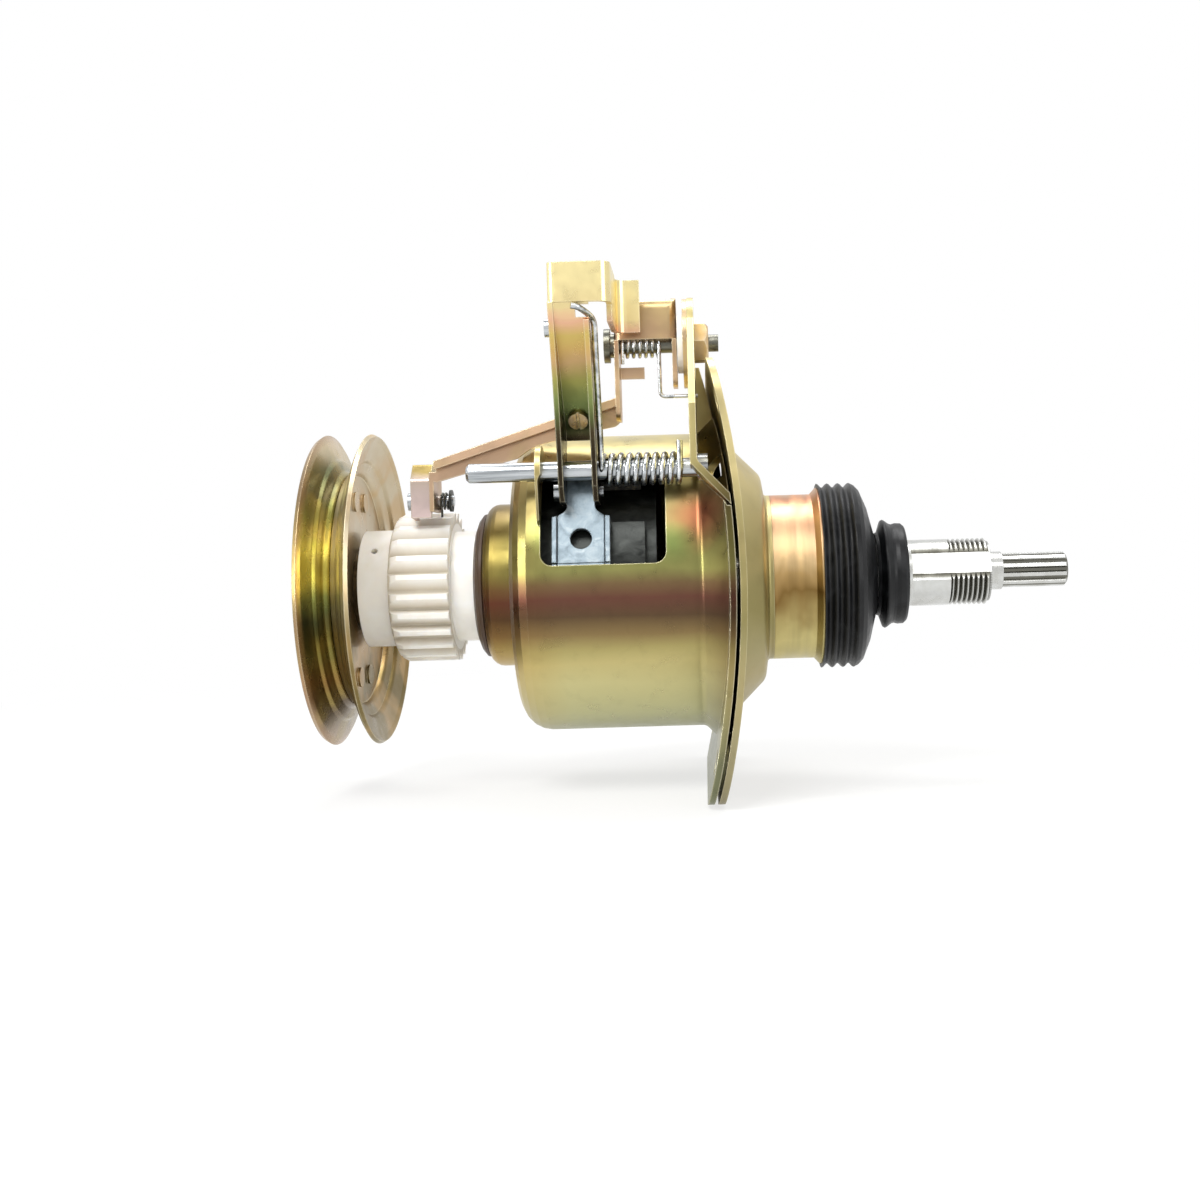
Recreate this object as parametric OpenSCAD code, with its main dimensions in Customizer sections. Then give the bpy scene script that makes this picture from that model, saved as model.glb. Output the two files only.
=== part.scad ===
// Planetary clutch of a top-loading washing machine, lying on its side.
// Millimetres, +Z up, main axis along X with the pulley towards -X and the spline towards +X.
// The origin is on the main axis, in the plane of the four mounting holes.

/* [Housing] */
// Thickness of the pressed sheet
sheet_t = 2.3; // [2:0.1:2.6]
// Outer radius of the pot
pot_r = 53.7; // [53.2:0.1:56]
// Length of the pot from its end wall to the start of the flare
pot_len = 66; // [66:0.5:72]
// Place of the start of the flare
mouth_x = -7.7; // [-8.6:0.1:-7]
// Radius of the bend at the closed end of the pot
pot_bend = 10; // [6:0.5:12]
// Depth of the small bearing cup
cup_len = 12; // [11:0.5:15]
// Radius of the bend at the mouth of the cup
cup_bend = 4.5; // [3:0.5:6]

/* [Flange plates] */
// Half width of the square flange
flange_half = 74; // [72:0.5:80]
// Corner radius of the flange
flange_corner = 14; // [6:1:20]
// Radius that the plates are curved to
plate_curve = 300; // [260:10:400]
// Gap between the two plates
plate_gap = 1.2; // [0.8:0.1:1.6]
// Spacing of the mounting holes
bolt_spacing = 120; // [112:1:124]
// Radius of the mounting holes
bolt_hole_r = 4.5; // [3:0.25:5.5]
// Reach of the flare outside the pot
flare_reach = 9; // [8:0.5:12]

/* [Dome and neck] */
// Radius of the foot of the dome
dome_foot_r = 49; // [47:0.5:50]
// Radius where the dome turns inwards
dome_shoulder_r = 37.6; // [36:0.2:39]
// Outer radius of the neck
neck_r = 30.2; // [29.5:0.1:31]
// Length of the neck beyond the dome
neck_len = 17; // [16:0.5:22]

/* [Window] */
// Width of the brake window
window_w = 42.4; // [40:0.5:43]
// Height of the brake window above its lower edge
window_h = 32; // [30:0.5:34]
// Corner radius of the window
window_corner = 4; // [2:0.5:6]

/* [Bearings] */
// Outside diameter of the lower bearing
low_bearing_od = 55; // [54:0.5:56]
// Width of the lower bearing
low_bearing_w = 13; // [12:0.5:14]
// Outside diameter of the upper bearing
top_bearing_od = 52; // [50:0.5:53]
// Width of the upper bearing
top_bearing_w = 15; // [13:0.5:16]
// Radial clearance of a turning fit
fit_run = 0.05; // [0.02:0.01:0.08]
// Gap between pieces that pass each other
clear = 0.4; // [0.3:0.05:0.5]

/* [Gears] */
// Gear module
gear_m = 1; // [1:0.01:1.02]
// Width of the planet gears
gear_w = 14; // [10:1:16]

/* [Brake] */
// Radius of the brake drum
drum_r = 41; // [40.5:0.1:41.4]
// Wall of the brake drum
drum_wall = 2.3; // [2:0.1:2.4]
// Length of the brake drum
drum_len = 42; // [40:1:44]
// Width of the brake band
band_w = 30; // [26:1:32]
// Thickness of the brake lining
lining_t = 2.6; // [2:0.1:2.8]
// Thickness of the band
band_t = 1; // [0.8:0.1:1.2]

/* [Shafts] */
// Radius of the lower drum tube and of the clutch sleeve
sleeve_r = 15; // [14.8:0.1:15.2]
// Radius of the spin tube in the upper bearing
tube_seat_r = 12.5; // [12.3:0.1:12.7]
// Radius of the spin tube outside
tube_r = 12.2; // [12:0.1:12.4]
// Radius of the bore in both tubes
tube_bore_r = 8.5; // [8.2:0.1:8.7]
// Radius of the two inner shafts
shaft_r = 6; // [5.8:0.1:6.2]
// Length of the spin tube beyond the neck
tube_out = 63; // [60:1:70]
// Length of the tube thread
thread_len = 15; // [10:1:18]
// Length of the splined end
spline_len = 24; // [18:1:30]
// Count of spline teeth
spline_n = 11; // [9:1:14]

/* [Ratchet sleeve] */
// Outer radius of the ratchet teeth
ratchet_r = 27.2; // [26.8:0.1:27.4]
// Root radius of the ratchet teeth
ratchet_root_r = 23.8; // [23:0.1:24.5]
// Count of ratchet teeth
ratchet_n = 24; // [20:2:28]
// Width of the toothed stretch
ratchet_w = 21.7; // [20:0.5:22]
// Radius of the plain neck
ratchet_neck_r = 20.2; // [19.6:0.1:21]
// Radius of the flange at the pulley end
ratchet_flange_r = 21.4; // [20.6:0.1:22]
// Bore over the clutch spring
ratchet_bore_r = 18.4; // [18.3:0.05:18.6]

/* [Pulley] */
// Outer radius of the pulley
pulley_r = 57; // [54:0.5:60]
// Overall width of the rim
pulley_w = 16; // [14:0.5:18]
// Thickness of the pulley sheet
pulley_t = 1.6; // [1.2:0.1:2]
// Radius of the bottom of the belt groove
groove_r = 44; // [41:0.5:46]

/* [Water seal] */
// Outer radius of the ribbed seal
seal_r = 34; // [33.5:0.5:36]
// Length of the seal beyond the neck
seal_len = 21; // [19:0.5:24]
// Outer radius of the turning lip ring
lip_r = 19.5; // [18:0.5:21]

/* [Lever rod] */
// Distance of the rod in front of the main axis
rod_y = 46.5; // [46.5:0.1:48]
// Height of the rod
rod_z = 38.7; // [38.5:0.1:40]
// Radius of the rod
rod_r = 3.3; // [3:0.1:3.4]
// Free length of the rod beyond the small ear
rod_out = 24; // [10:1:28]
// Face of the tall ear
ear_x = -10.3; // [-11:0.1:-10]

/* [Brake lever] */
// Thickness of the lever sheet
lever_t = 1.8; // [1.6:0.1:2]
// Outer width of the lever at the rod
lever_w = 13.2; // [13.2:0.1:14]
// Outer width of the lever at its top
lever_top_w = 20.5; // [19:0.5:21]
// Height of the lever above the main axis
lever_top_z = 104.5; // [102:0.5:108]

/* [Brake lug] */
// Width of the lug plate
lug_w = 19.8; // [17:0.1:20]
// Height of the lug plate
lug_h = 20; // [18:0.5:20.5]
// Radius of the hole in the lug
lug_hole_r = 3.7; // [2.5:0.1:4.5]
// Radius of the lug pin
lug_pin_r = 2; // [1.6:0.1:2.1]

/* [Pawl lever] */
// Distance of the pivot screw in front of the main axis
pivot_y = 28; // [28:0.1:28.6]
// Height of the pivot screw
pivot_z = 83.3; // [83:0.1:84]
// Radius of the pivot screw
pivot_r = 3; // [2.8:0.1:3.1]
// Thickness of the pawl lever sheet
pawl_t = 1.6; // [1.4:0.1:1.8]
// Radius of the pawl pin
pawl_pin_r = 2; // [1.8:0.1:2.1]

/* [Springs] */
// Wire of the brake return spring
big_wire = 2; // [1.6:0.1:2]
// Turns of the brake return spring
big_turns = 9; // [7:1:9]
// Wire of the pawl lever spring
small_wire = 1.3; // [1:0.1:1.4]
// Turns of the pawl lever spring
small_turns = 6; // [4:1:6]

/* [Hidden] */
$fn = 96;
spring_rings = 8;
spring_sides = 6;
bend_steps = 5;

// Stations along the main axis
pot_end_x = mouth_x - pot_len;
cup_end_x = pot_end_x - cup_len;
cup_r = low_bearing_od / 2 + sheet_t;
hole_plane_drop = pow(bolt_spacing / 2, 2) / (2 * plate_curve);
upper_left_x = hole_plane_drop - sheet_t / 2;
upper_right_x = upper_left_x + sheet_t;
lower_right_x = upper_left_x - plate_gap;
lower_left_x = lower_right_x - sheet_t;
dome_slope = 1.2;
dome_end_x = upper_right_x + dome_foot_r - dome_shoulder_r + dome_slope
    - pow(dome_foot_r, 2) / (2 * plate_curve);
collar_end_x = dome_end_x + 2;
neck_end_x = collar_end_x + neck_len;
neck_face_x = neck_end_x + 0.6;
seal_end_x = neck_end_x + seal_len;
tube_end_x = neck_end_x + tube_out;
shaft_collar_len = 5;
shaft_end_x = tube_end_x + shaft_collar_len + spline_len;

// Bearings sit against the bend at the end of the cup and the shoulder of the neck
low_bearing_x = cup_end_x + cup_bend + clear;
top_bearing_x = collar_end_x + 1;

// Drum inside the pot
drum_x0 = low_bearing_x + low_bearing_w + 2.9;
drum_x1 = drum_x0 + drum_len;
band_x0 = drum_x0 + (drum_len - band_w) / 2 + 2.2;
band_mid_x = band_x0 + band_w / 2;
lining_r = drum_r + clear;
band_r = lining_r + lining_t;
band_out_r = band_r + band_t;

// Gear train: sun inside, three planets, ring fixed in the drum
sun_n = 18;
planet_n = 27;
ring_n = 72;
planet_count = 3;
planet_orbit = gear_m * (sun_n + planet_n) / 2;
ring_out_r = drum_r - drum_wall;
gear_x0 = drum_x0 + 12;
gear_x1 = gear_x0 + gear_w;
planet_pin_r = 3;
backlash_deg = 0.35;

// Ratchet sleeve, clutch sleeve and pulley follow the cup end
ratchet_end_x = cup_end_x - 1.7;
ratchet_neck_len = 10.3;
ratchet_x1 = ratchet_end_x - ratchet_neck_len;
ratchet_x0 = ratchet_x1 - ratchet_w;
ratchet_start_x = ratchet_x0 - 11.3;
ratchet_lip_w = 3;
pulley_mid_x = ratchet_start_x - 4.7;
drum_tube_x0 = ratchet_x1 - 1.3;
clutch_sleeve_x1 = drum_tube_x0 - clear;
clutch_sleeve_x0 = pulley_mid_x + pulley_t;

// Rod and ears
window_x0 = pot_end_x + 11.9;
window_z0 = 6.6;
small_ear_x = window_x0 - 0.9;
small_ear_t = 2;
rod_head_r = 4.6;
rod_x0 = small_ear_x - rod_out;
ear_right_x = ear_x + sheet_t;
ear_boss_r = 16;
pocket_y = -4;
pocket_z = 24.5;
pocket_top_z = flange_half + 3.5;

// Brake lever
lever_x0 = small_ear_x + 7.8;
lever_x1 = lever_x0 + lever_w;
lever_mid_x = (lever_x0 + lever_x1) / 2;
lever_top_x1 = lever_x0 + lever_top_w;
tab_far_y = -39;
tab_w = 8;
tab_z0 = 86;
strip_z = 91.5;
strip_y = -75;
notch_w = 4.4;
notch_z = 87;

// Lug stands square to this direction from the main axis
lug_angle = 17.5;
lug_d = 49.6;
lug_t = 1.8;
lug_pin_d = lug_d - lug_t - clear - lug_pin_r;
lug_pin_s = 19.1;
lug_pin_y = -lug_pin_d * cos(lug_angle) + lug_pin_s * sin(lug_angle);
lug_pin_z = lug_pin_d * sin(lug_angle) + lug_pin_s * cos(lug_angle);

// Pawl lever
cheek_x0 = lever_top_x1 - 1.5;
bracket_w = 21.8;
bracket_x1 = cheek_x0 + bracket_w;
bracket_y = -34.2;
arm_y = -26;
arm_x0 = ratchet_x0 + 18.7;
pawl_x0 = arm_x0 - 10;
pawl_x1 = pawl_x0 + 7.2;
pawl_pin_y = -15;
pawl_pin_z = 31;
arm_lug_x = pawl_x1 + 0.35;
fender_t = 1.6;
slide_gap = 0.25;

// Springs
big_r = rod_r + clear + big_wire / 2 + 0.1;
big_pitch = 2.95;
small_r = pivot_r + clear + small_wire / 2;
small_pitch = 2.15;
pawl_wire = 0.8;
clutch_wire = 1.4;

// Points and paths
function unit(v) = v / norm(v);
function flat(lists) = [for (l = lists) for (p = l) p];
function reversed(p) = [for (i = [len(p) - 1 : -1 : 0]) p[i]];
function xy(p) = [p.x, p.y];
function side(a, b) = let (d = unit(b - a)) [-d.y, d.x];

// Arc that rounds the corner at b
function corner(a, b, c, r) = r == 0 ? [b] :
    let (u = unit(a - b), v = unit(c - b), half = acos(u * v) / 2,
         middle = b + unit(u + v) * r / sin(half),
         p = b + u * r / tan(half) - middle, q = b + v * r / tan(half) - middle,
         a0 = atan2(p.y, p.x), turn = atan2(p.x * q.y - p.y * q.x, p * q))
    [for (i = [0 : bend_steps]) middle
        + r * [cos(a0 + turn * i / bend_steps), sin(a0 + turn * i / bend_steps)]];

// Each point of a path is [x, y, radius], and the ends stay sharp
function rounded(path) = flat([for (i = [0 : len(path) - 1])
    i == 0 || i == len(path) - 1 ? [xy(path[i])]
    : corner(xy(path[i - 1]), xy(path[i]), xy(path[i + 1]), path[i].z)]);

function shifted(p, t) = [for (i = [0 : len(p) - 1])
    let (n1 = i == 0 ? side(p[0], p[1]) : side(p[i - 1], p[i]),
         n2 = i == len(p) - 1 ? n1 : side(p[i], p[i + 1]),
         m = unit(n1 + n2))
    p[i] + m * t / (m * n1)];

function sheet_outline(path, t) =
    let (p = rounded(path)) concat(p, reversed(shifted(p, t)));

// Solids along the main axis
module revolve_x(points)
    rotate([0, 90, 0]) rotate_extrude() polygon([for (p = points) [p.y, p.x]]);

module rod_x(x0, x1, r, y = 0, z = 0)
    translate([x0, y, z]) rotate([0, 90, 0]) cylinder(h = x1 - x0, r = r);

module tube_x(x0, x1, r, bore, y = 0, z = 0)
    difference() {
        rod_x(x0, x1, r, y, z);
        rod_x(x0 - 1, x1 + 1, bore, y, z);
    }

// Plates: the outline is [y, z] for one across X, and [x, z] for one across Y
module plate_x(x0, x1)
    translate([x0, 0, 0]) rotate([90, 0, 90]) linear_extrude(x1 - x0) children();

module plate_y(y0, y1)
    translate([0, y1, 0]) rotate([90, 0, 0]) linear_extrude(y1 - y0) children();

module round_square(half, r) {
    square([2 * half, 2 * (half - r)], center = true);
    square([2 * (half - r), 2 * half], center = true);
    for (a = [-1, 1], b = [-1, 1])
        translate([a * (half - r), b * (half - r)]) circle(r = r);
}

module square_from(x0, y0, x1, y1) translate([x0, y0]) square([x1 - x0, y1 - y0]);

module round_rect(x0, y0, w, h, r)
    translate([x0, y0]) {
        translate([r, 0]) square([w - 2 * r, h]);
        translate([0, r]) square([w, h - 2 * r]);
        for (a = [r, w - r], b = [r, h - r]) translate([a, b]) circle(r = r);
    }

// Wire: a tube with six sides along a list of points
function wire_frame(p, i) = unit(p[min(i + 1, len(p) - 1)] - p[max(i - 1, 0)]);
function carried(n, t) = unit(n - t * (n * t));
function wire_normals(p, i = 0, n = [0, 0, 1], out = []) =
    i == len(p) ? out
    : let (t = wire_frame(p, i),
           seed = i == 0 && abs(t.z) > 0.9 ? [0, 1, 0] : n,
           m = carried(seed, t))
      wire_normals(p, i + 1, m, concat(out, [m]));

module wire(p, d) {
    sides = spring_sides;
    n = wire_normals(p);
    rings = [for (i = [0 : len(p) - 1])
        let (t = wire_frame(p, i), b = cross(t, n[i]))
        for (k = [0 : sides - 1]) p[i]
            + (n[i] * cos(360 * k / sides) + b * sin(360 * k / sides)) * d / 2];
    last = (len(p) - 1) * sides;
    polyhedron(rings, concat(
        [for (k = [1 : sides - 2]) [0, k, k + 1]],
        [for (k = [1 : sides - 2]) [last, last + k + 1, last + k]],
        [for (i = [0 : len(p) - 2], k = [0 : sides - 1])
            let (a = i * sides + k, c = i * sides + (k + 1) % sides)
            each [[a, a + sides, c + sides], [a, c + sides, c]]]));
}

// Coil along X from angle a0, where 0 points up and 90 points away
function coil(x0, pitch, turns, r, y, z, a0) =
    [for (i = [0 : round(turns * spring_rings)])
        let (a = a0 + 360 * i / spring_rings)
        [x0 + pitch * i / spring_rings, y + r * sin(a), z + r * cos(a)]];

function least_gap(p, d) = min([for (i = [0 : len(p) - 1])
    for (j = [i + 5 : 1 : min(len(p) - 1, i + 3 * spring_rings)]) norm(p[i] - p[j])]) - d;

// Involute gears
pressure = 20;
function involute(a) = tan(a) * 180 / PI - a;
function half_tooth(z, r, slack) =
    let (base = gear_m * z * cos(pressure) / 2)
    90 / z - slack + involute(pressure) - (r > base ? involute(acos(base / r)) : 0);
function gear_outline(z, root, tip, slack) =
    let (base = gear_m * z * cos(pressure) / 2, low = max(root, base + 0.01),
         steps = [root, low, (low + tip) / 2, tip])
    flat([for (i = [0 : z - 1]) concat(
        [for (r = steps) let (a = 360 * i / z - half_tooth(z, r, slack)) r * [cos(a), sin(a)]],
        [for (r = reversed(steps))
            let (a = 360 * i / z + half_tooth(z, r, slack)) r * [cos(a), sin(a)]])]);

module gear(z, x0, x1) {
    pitch_r = gear_m * z / 2;
    plate_x(x0, x1) polygon(gear_outline(z, pitch_r - 1.2 * gear_m,
        pitch_r + 0.9 * gear_m, backlash_deg * 18 / z));
}

// Housing
lower_path = [[cup_end_x, 23.6, 0], [cup_end_x, cup_r, cup_bend], [pot_end_x, cup_r, 2],
    [pot_end_x, pot_r, pot_bend], [mouth_x, pot_r, 3],
    [mouth_x + flare_reach + 6, pot_r + flare_reach + 6, 0]];

// Solid to the left of a curved plate face whose middle is at x
module left_of(x)
    translate([x - plate_curve, 0, 0]) rotate([90, 0, 0])
        cylinder(h = 4 * flange_half, r = plate_curve, center = true, $fn = 360);

// Metal round each mounting hole
boss_r = bolt_hole_r + 5;
// The curve of the plates stays within this distance of the origin
plate_reach = 60;

module curved_sheet(x0, x1)
    intersection() {
        difference() {
            left_of(x1);
            left_of(x0);
        }
        plate_x(-plate_reach, plate_reach) {
            round_square(flange_half, flange_corner);
            for (a = [-1, 1], b = [-1, 1])
                translate([a * bolt_spacing / 2, b * bolt_spacing / 2]) circle(r = boss_r);
        }
    }

module mount_holes()
    for (a = [-1, 1], b = [-1, 1])
        rod_x(-plate_reach, plate_reach, bolt_hole_r, a * bolt_spacing / 2, b * bolt_spacing / 2);

// Room between the tall ear and the upper plate, where the lower plate is cut away
pocket_wall = [[ear_x, 50, 0], [ear_x, 38.5, 5], [lower_right_x + 3, pocket_z - 4, 0]];

module pocket()
    plate_y(-flange_half - 2, pocket_y) polygon([[ear_right_x, 130], [ear_right_x, 39.5],
        [lower_left_x, pocket_z], [40, pocket_z], [40, 130]]);

module tall_ear()
    plate_x(ear_x, ear_right_x) {
        polygon([[-flange_half, 38], [-flange_half, 58],
            [-pivot_y - 0.9 * ear_boss_r, pivot_z + 0.44 * ear_boss_r],
            [-pivot_y, pivot_z], [-pivot_y + 0.93 * ear_boss_r, pivot_z - 0.37 * ear_boss_r],
            [pocket_y, pocket_top_z], [pocket_y, 38]]);
        translate([-pivot_y, pivot_z]) circle(r = ear_boss_r);
    }

module small_ear()
    plate_x(small_ear_x, small_ear_x + small_ear_t) {
        translate([-rod_y, rod_z]) circle(r = 8.8);
        polygon([[-49, 20], [-52, 22], [-rod_y - 8.6, rod_z - 2], [-rod_y + 6, rod_z + 6.4],
            [-35, 42], [-36, 30]]);
    }

module lower_housing()
    color("#b8a86a") difference() {
        union() {
            intersection() {
                revolve_x(sheet_outline(lower_path, -sheet_t));
                left_of(lower_right_x);
            }
            difference() {
                curved_sheet(lower_left_x, lower_right_x);
                revolve_x([[mouth_x, 0], [mouth_x, pot_r - 1], [mouth_x + 40, pot_r + 39],
                    [mouth_x + 40, 0]]);
                pocket();
            }
            intersection() {
                union() {
                    plate_y(-flange_half, pocket_y)
                        polygon(sheet_outline(pocket_wall, sheet_t));
                    plate_y(pocket_y - sheet_t, pocket_y)
                        polygon([[ear_x, 50], [ear_x, pocket_top_z], [10, pocket_top_z],
                            [10, 50]]);
                }
                left_of(lower_right_x);
            }
            tall_ear();
            small_ear();
            weld_bosses();
        }
        rod_x(pot_end_x + pot_bend, 30, pot_r - sheet_t);
        plate_y(-pot_r - 4, -20)
            round_rect(window_x0, window_z0, window_w, window_h, window_corner);
        rod_x(-100, 0, rod_r + fit_run, -rod_y, rod_z);
        rod_x(ear_right_x, 0, rod_head_r + clear, -rod_y, rod_z);
        rod_x(-30, 0, pivot_r + fit_run, -pivot_y, pivot_z);
        rod_x(-30, 0, small_wire / 2 + 0.3, -pivot_y - small_r, spring_hook_z);
        rod_x(small_ear_x + small_ear_t, ear_x, big_r + big_wire / 2 + clear, -rod_y, rod_z);
        lug_frame() plate_y(band_out_r, lug_d + clear) round_rect(lever_mid_x - lug_w / 2 - clear,
            -lug_h / 2 - clear, lug_w + 2 * clear, lug_h + 2 * clear, 2);
        at_anchor() cylinder(h = 2 * pot_r, r = anchor_r);
        mount_holes();
    }

// Raised rings round the holes, where the two plates meet
module weld_bosses()
    intersection() {
        difference() {
            left_of(upper_left_x);
            left_of(lower_right_x - 0.1);
        }
        for (p = [[1, 1], [1, -1], [-1, -1]])
            rod_x(-plate_reach, plate_reach, boss_r, p.x * bolt_spacing / 2, p.y * bolt_spacing / 2);
    }

dome_side_x = dome_end_x - dome_slope;
upper_path = [[collar_end_x, neck_r, 0], [dome_end_x, neck_r, 1.2],
    [dome_side_x, dome_shoulder_r, 5], [dome_side_x - 30, dome_shoulder_r + 30, 0]];

module upper_bracket()
    color("#b3a468") difference() {
        union() {
            difference() {
                revolve_x(sheet_outline(upper_path, sheet_t));
                left_of(upper_left_x);
            }
            difference() {
                curved_sheet(upper_left_x, upper_right_x);
                revolve_x([[dome_end_x, 0], [dome_side_x, dome_shoulder_r - 1],
                    [dome_side_x - 40, dome_shoulder_r + 39], [dome_end_x - 60, 0]]);
            }
        }
        rod_x(ear_right_x, ear_right_x + nut_w + 5, nut_r + clear, -pivot_y, pivot_z);
        mount_holes();
    }

// Height of the cone that the rubber seal sits on
neck_rim = 2.2;
// Wall round the upper bearing
bearing_wall = 4.2;

module neck_tube()
    color("#c4a56a") difference() {
        union() {
            rod_x(collar_end_x, neck_end_x, neck_r);
            rod_x(collar_end_x, neck_end_x, top_bearing_od / 2 + bearing_wall);
            revolve_x([[neck_end_x - 2, 0], [neck_end_x - 2, neck_r], [neck_end_x, neck_r + neck_rim],
                [neck_face_x, neck_r + neck_rim], [neck_face_x, 0]]);
            rod_x(dome_end_x - 4, collar_end_x, neck_r - sheet_t);
        }
        rod_x(top_bearing_x, neck_face_x + 1, top_bearing_od / 2);
        rod_x(dome_end_x - 5, neck_face_x, top_bearing_od / 2 - 3);
    }

// Bearings
module race(x0, w, r_out, r_in, ball_c, ball_r)
    difference() {
        tube_x(x0, x0 + w, r_out, r_in);
        translate([x0 + w / 2, 0, 0]) rotate([0, 90, 0]) rotate_extrude()
            translate([ball_c, 0]) circle(r = ball_r + fit_run, $fn = 48);
    }

module balls(x0, w, ball_c, ball_r, n) {
    tube_x(x0 + w / 2 - 1, x0 + w / 2 + 1, ball_c + 0.9, ball_c - 0.9);
    for (i = [0 : n - 1]) rotate([360 * i / n, 0, 0])
        translate([x0 + w / 2, 0, ball_c]) sphere(r = ball_r, $fn = 32);
}

low_ball_c = (low_bearing_od / 2 + sleeve_r) / 2;
low_ball_r = 4;
top_ball_c = (top_bearing_od / 2 + tube_seat_r) / 2;
top_ball_r = 4;

module lower_bearing_outer()
    color("#c8c8c6") race(low_bearing_x, low_bearing_w, low_bearing_od / 2,
        low_ball_c + 2, low_ball_c, low_ball_r);

module lower_bearing_inner()
    color("#c8c8c6") race(low_bearing_x, low_bearing_w, low_ball_c - 2, sleeve_r,
        low_ball_c, low_ball_r);

module lower_bearing_balls()
    color("#dcdcdc") balls(low_bearing_x, low_bearing_w, low_ball_c, low_ball_r, 12);

module upper_bearing_outer()
    color("#c8c8c6") race(top_bearing_x, top_bearing_w, top_bearing_od / 2,
        top_ball_c + 2, top_ball_c, top_ball_r);

module upper_bearing_inner()
    color("#c8c8c6") race(top_bearing_x, top_bearing_w, top_ball_c - 2, tube_seat_r,
        top_ball_c, top_ball_r);

module upper_bearing_balls()
    color("#dcdcdc") balls(top_bearing_x, top_bearing_w, top_ball_c, top_ball_r, 10);

// Seals
// Brown ring in the mouth of the cup, with the ratchet sleeve turning inside it
module dust_seal()
    color("#6e5138") revolve_x([[low_bearing_x, 23.6], [cup_end_x, 23.6], [cup_end_x, 26.4],
        [cup_end_x - 1.2, 26.2], [cup_end_x - 2.6, 24.4], [cup_end_x - 3.6, 21.8],
        [cup_end_x - 3.6, ratchet_neck_r + clear], [low_bearing_x, ratchet_neck_r + clear]]);

module shaft_seal()
    color("#2a2a2a") revolve_x([[neck_face_x, shaft_seal_r],
        [neck_face_x + 5, shaft_seal_r], [neck_face_x + 5, tube_r + 2.5],
        [neck_face_x + 3.4, tube_r + 2.5], [neck_face_x + 2.6, tube_seat_r + fit_run],
        [neck_face_x + 1.6, tube_seat_r + fit_run], [neck_face_x + 1, tube_r + 2.5],
        [neck_face_x, tube_r + 2.5]]);

// Ribs from a formula on a body that rounds off to the right
rib_n = 3;
rib_pitch = 3.95;
rib_depth = 1.5;
seal_wall = 3;
shaft_seal_r = seal_r - seal_wall - 2;
function rib(i, k) = [neck_face_x + rib_pitch * (i + k / 8),
    seal_r - rib_depth * (0.5 - 0.5 * cos(45 * k))];
ribs_end_x = neck_face_x + rib_n * rib_pitch;

module water_seal()
    color("#1e2124") revolve_x(concat(
        [[neck_face_x, seal_r - seal_wall]],
        [for (i = [0 : rib_n - 1]) for (k = [0 : 7]) rib(i, k)],
        [[ribs_end_x, seal_r], [ribs_end_x + 1.6, seal_r - 0.8], [ribs_end_x + 3.2, seal_r - 2.5],
         [seal_end_x - 2.8, seal_r - 8.5], [seal_end_x - 0.9, seal_r - 15.5],
         [seal_end_x, tube_r + 3.2], [seal_end_x, tube_r + 1.5], [seal_end_x - 1.7, tube_r + 1.5],
         [seal_end_x - 2.6, seal_r - 15.8], [seal_end_x - 4.5, seal_r - 9.2],
         [ribs_end_x + 1.4, seal_r - seal_wall - 1.2], [ribs_end_x, seal_r - seal_wall]]));

module lip_ring()
    color("#1b1d1f") revolve_x([[seal_end_x + clear, tube_r], [seal_end_x + clear, tube_r + 2.8],
        [seal_end_x + 1.6, tube_r + 3.4], [seal_end_x + 3, lip_r + 0.2],
        [seal_end_x + 3.6, lip_r + 0.5], [seal_end_x + 4.2, lip_r + 0.2],
        [seal_end_x + 5.8, lip_r - 1], [seal_end_x + 6.8, lip_r - 1.3],
        [seal_end_x + 8.2, lip_r - 0.9], [seal_end_x + 10.2, lip_r - 1],
        [seal_end_x + 11.2, lip_r - 1.9], [seal_end_x + 11.6, lip_r - 4], [seal_end_x + 11.6, tube_r]]);

// Brake
band_gap_from = 28;
band_gap_to = 52;

module open_ring(x0, x1, r_out, r_in)
    difference() {
        tube_x(x0, x1, r_out, r_in);
        plate_x(x0 - 1, x1 + 1) polygon([[0, 0], for (a = [band_gap_from, 40, band_gap_to])
            2 * pot_r * [-cos(a), sin(a)]]);
    }

module brake_band()
    color("#3a3c40") open_ring(band_x0, band_x0 + band_w, band_out_r, band_r);

module brake_lining()
    color("#202224") open_ring(band_x0 + 1.5, band_x0 + band_w - 1.5, band_r, lining_r);

// Riveted through the far side of the pot
anchor_angle = 62;
anchor_r = 3.5;

module at_anchor() rotate([-anchor_angle, 0, 0]) translate([band_mid_x, 0, 0]) children();

module band_anchor()
    color("#b8a86a") {
        difference() {
            at_anchor() translate([0, 0, band_out_r - 1])
                cylinder(h = pot_r - band_out_r + 2, r = anchor_r);
            rod_x(-100, 0, band_out_r);
        }
        difference() {
            at_anchor() translate([0, 0, pot_r - 1]) cylinder(h = 3.4, r = anchor_r + 2);
            rod_x(-100, 0, pot_r);
        }
    }

// In the lug's own frame x is along the main axis, y outwards and z along the drum's surface
module lug_frame() rotate([-lug_angle, 0, 0]) mirror([0, 1, 0]) children();

// Rim folded round the lug's plate, with a groove inside it
lug_rim_t = 1.6;
lug_rim_out = 0.8;
lug_groove = 0.4;
lug_neck_w = 9.6;

module lug_wall(x, s0, w, h, d0)
    plate_y(d0, lug_d + lug_rim_out) translate([lever_mid_x + x, s0]) square([w, h]);

module lug_neck(d0, s0, s1)
    translate([lever_mid_x - lug_neck_w / 2, d0, s0]) cube([lug_neck_w, lug_t, s1 - s0]);

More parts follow.
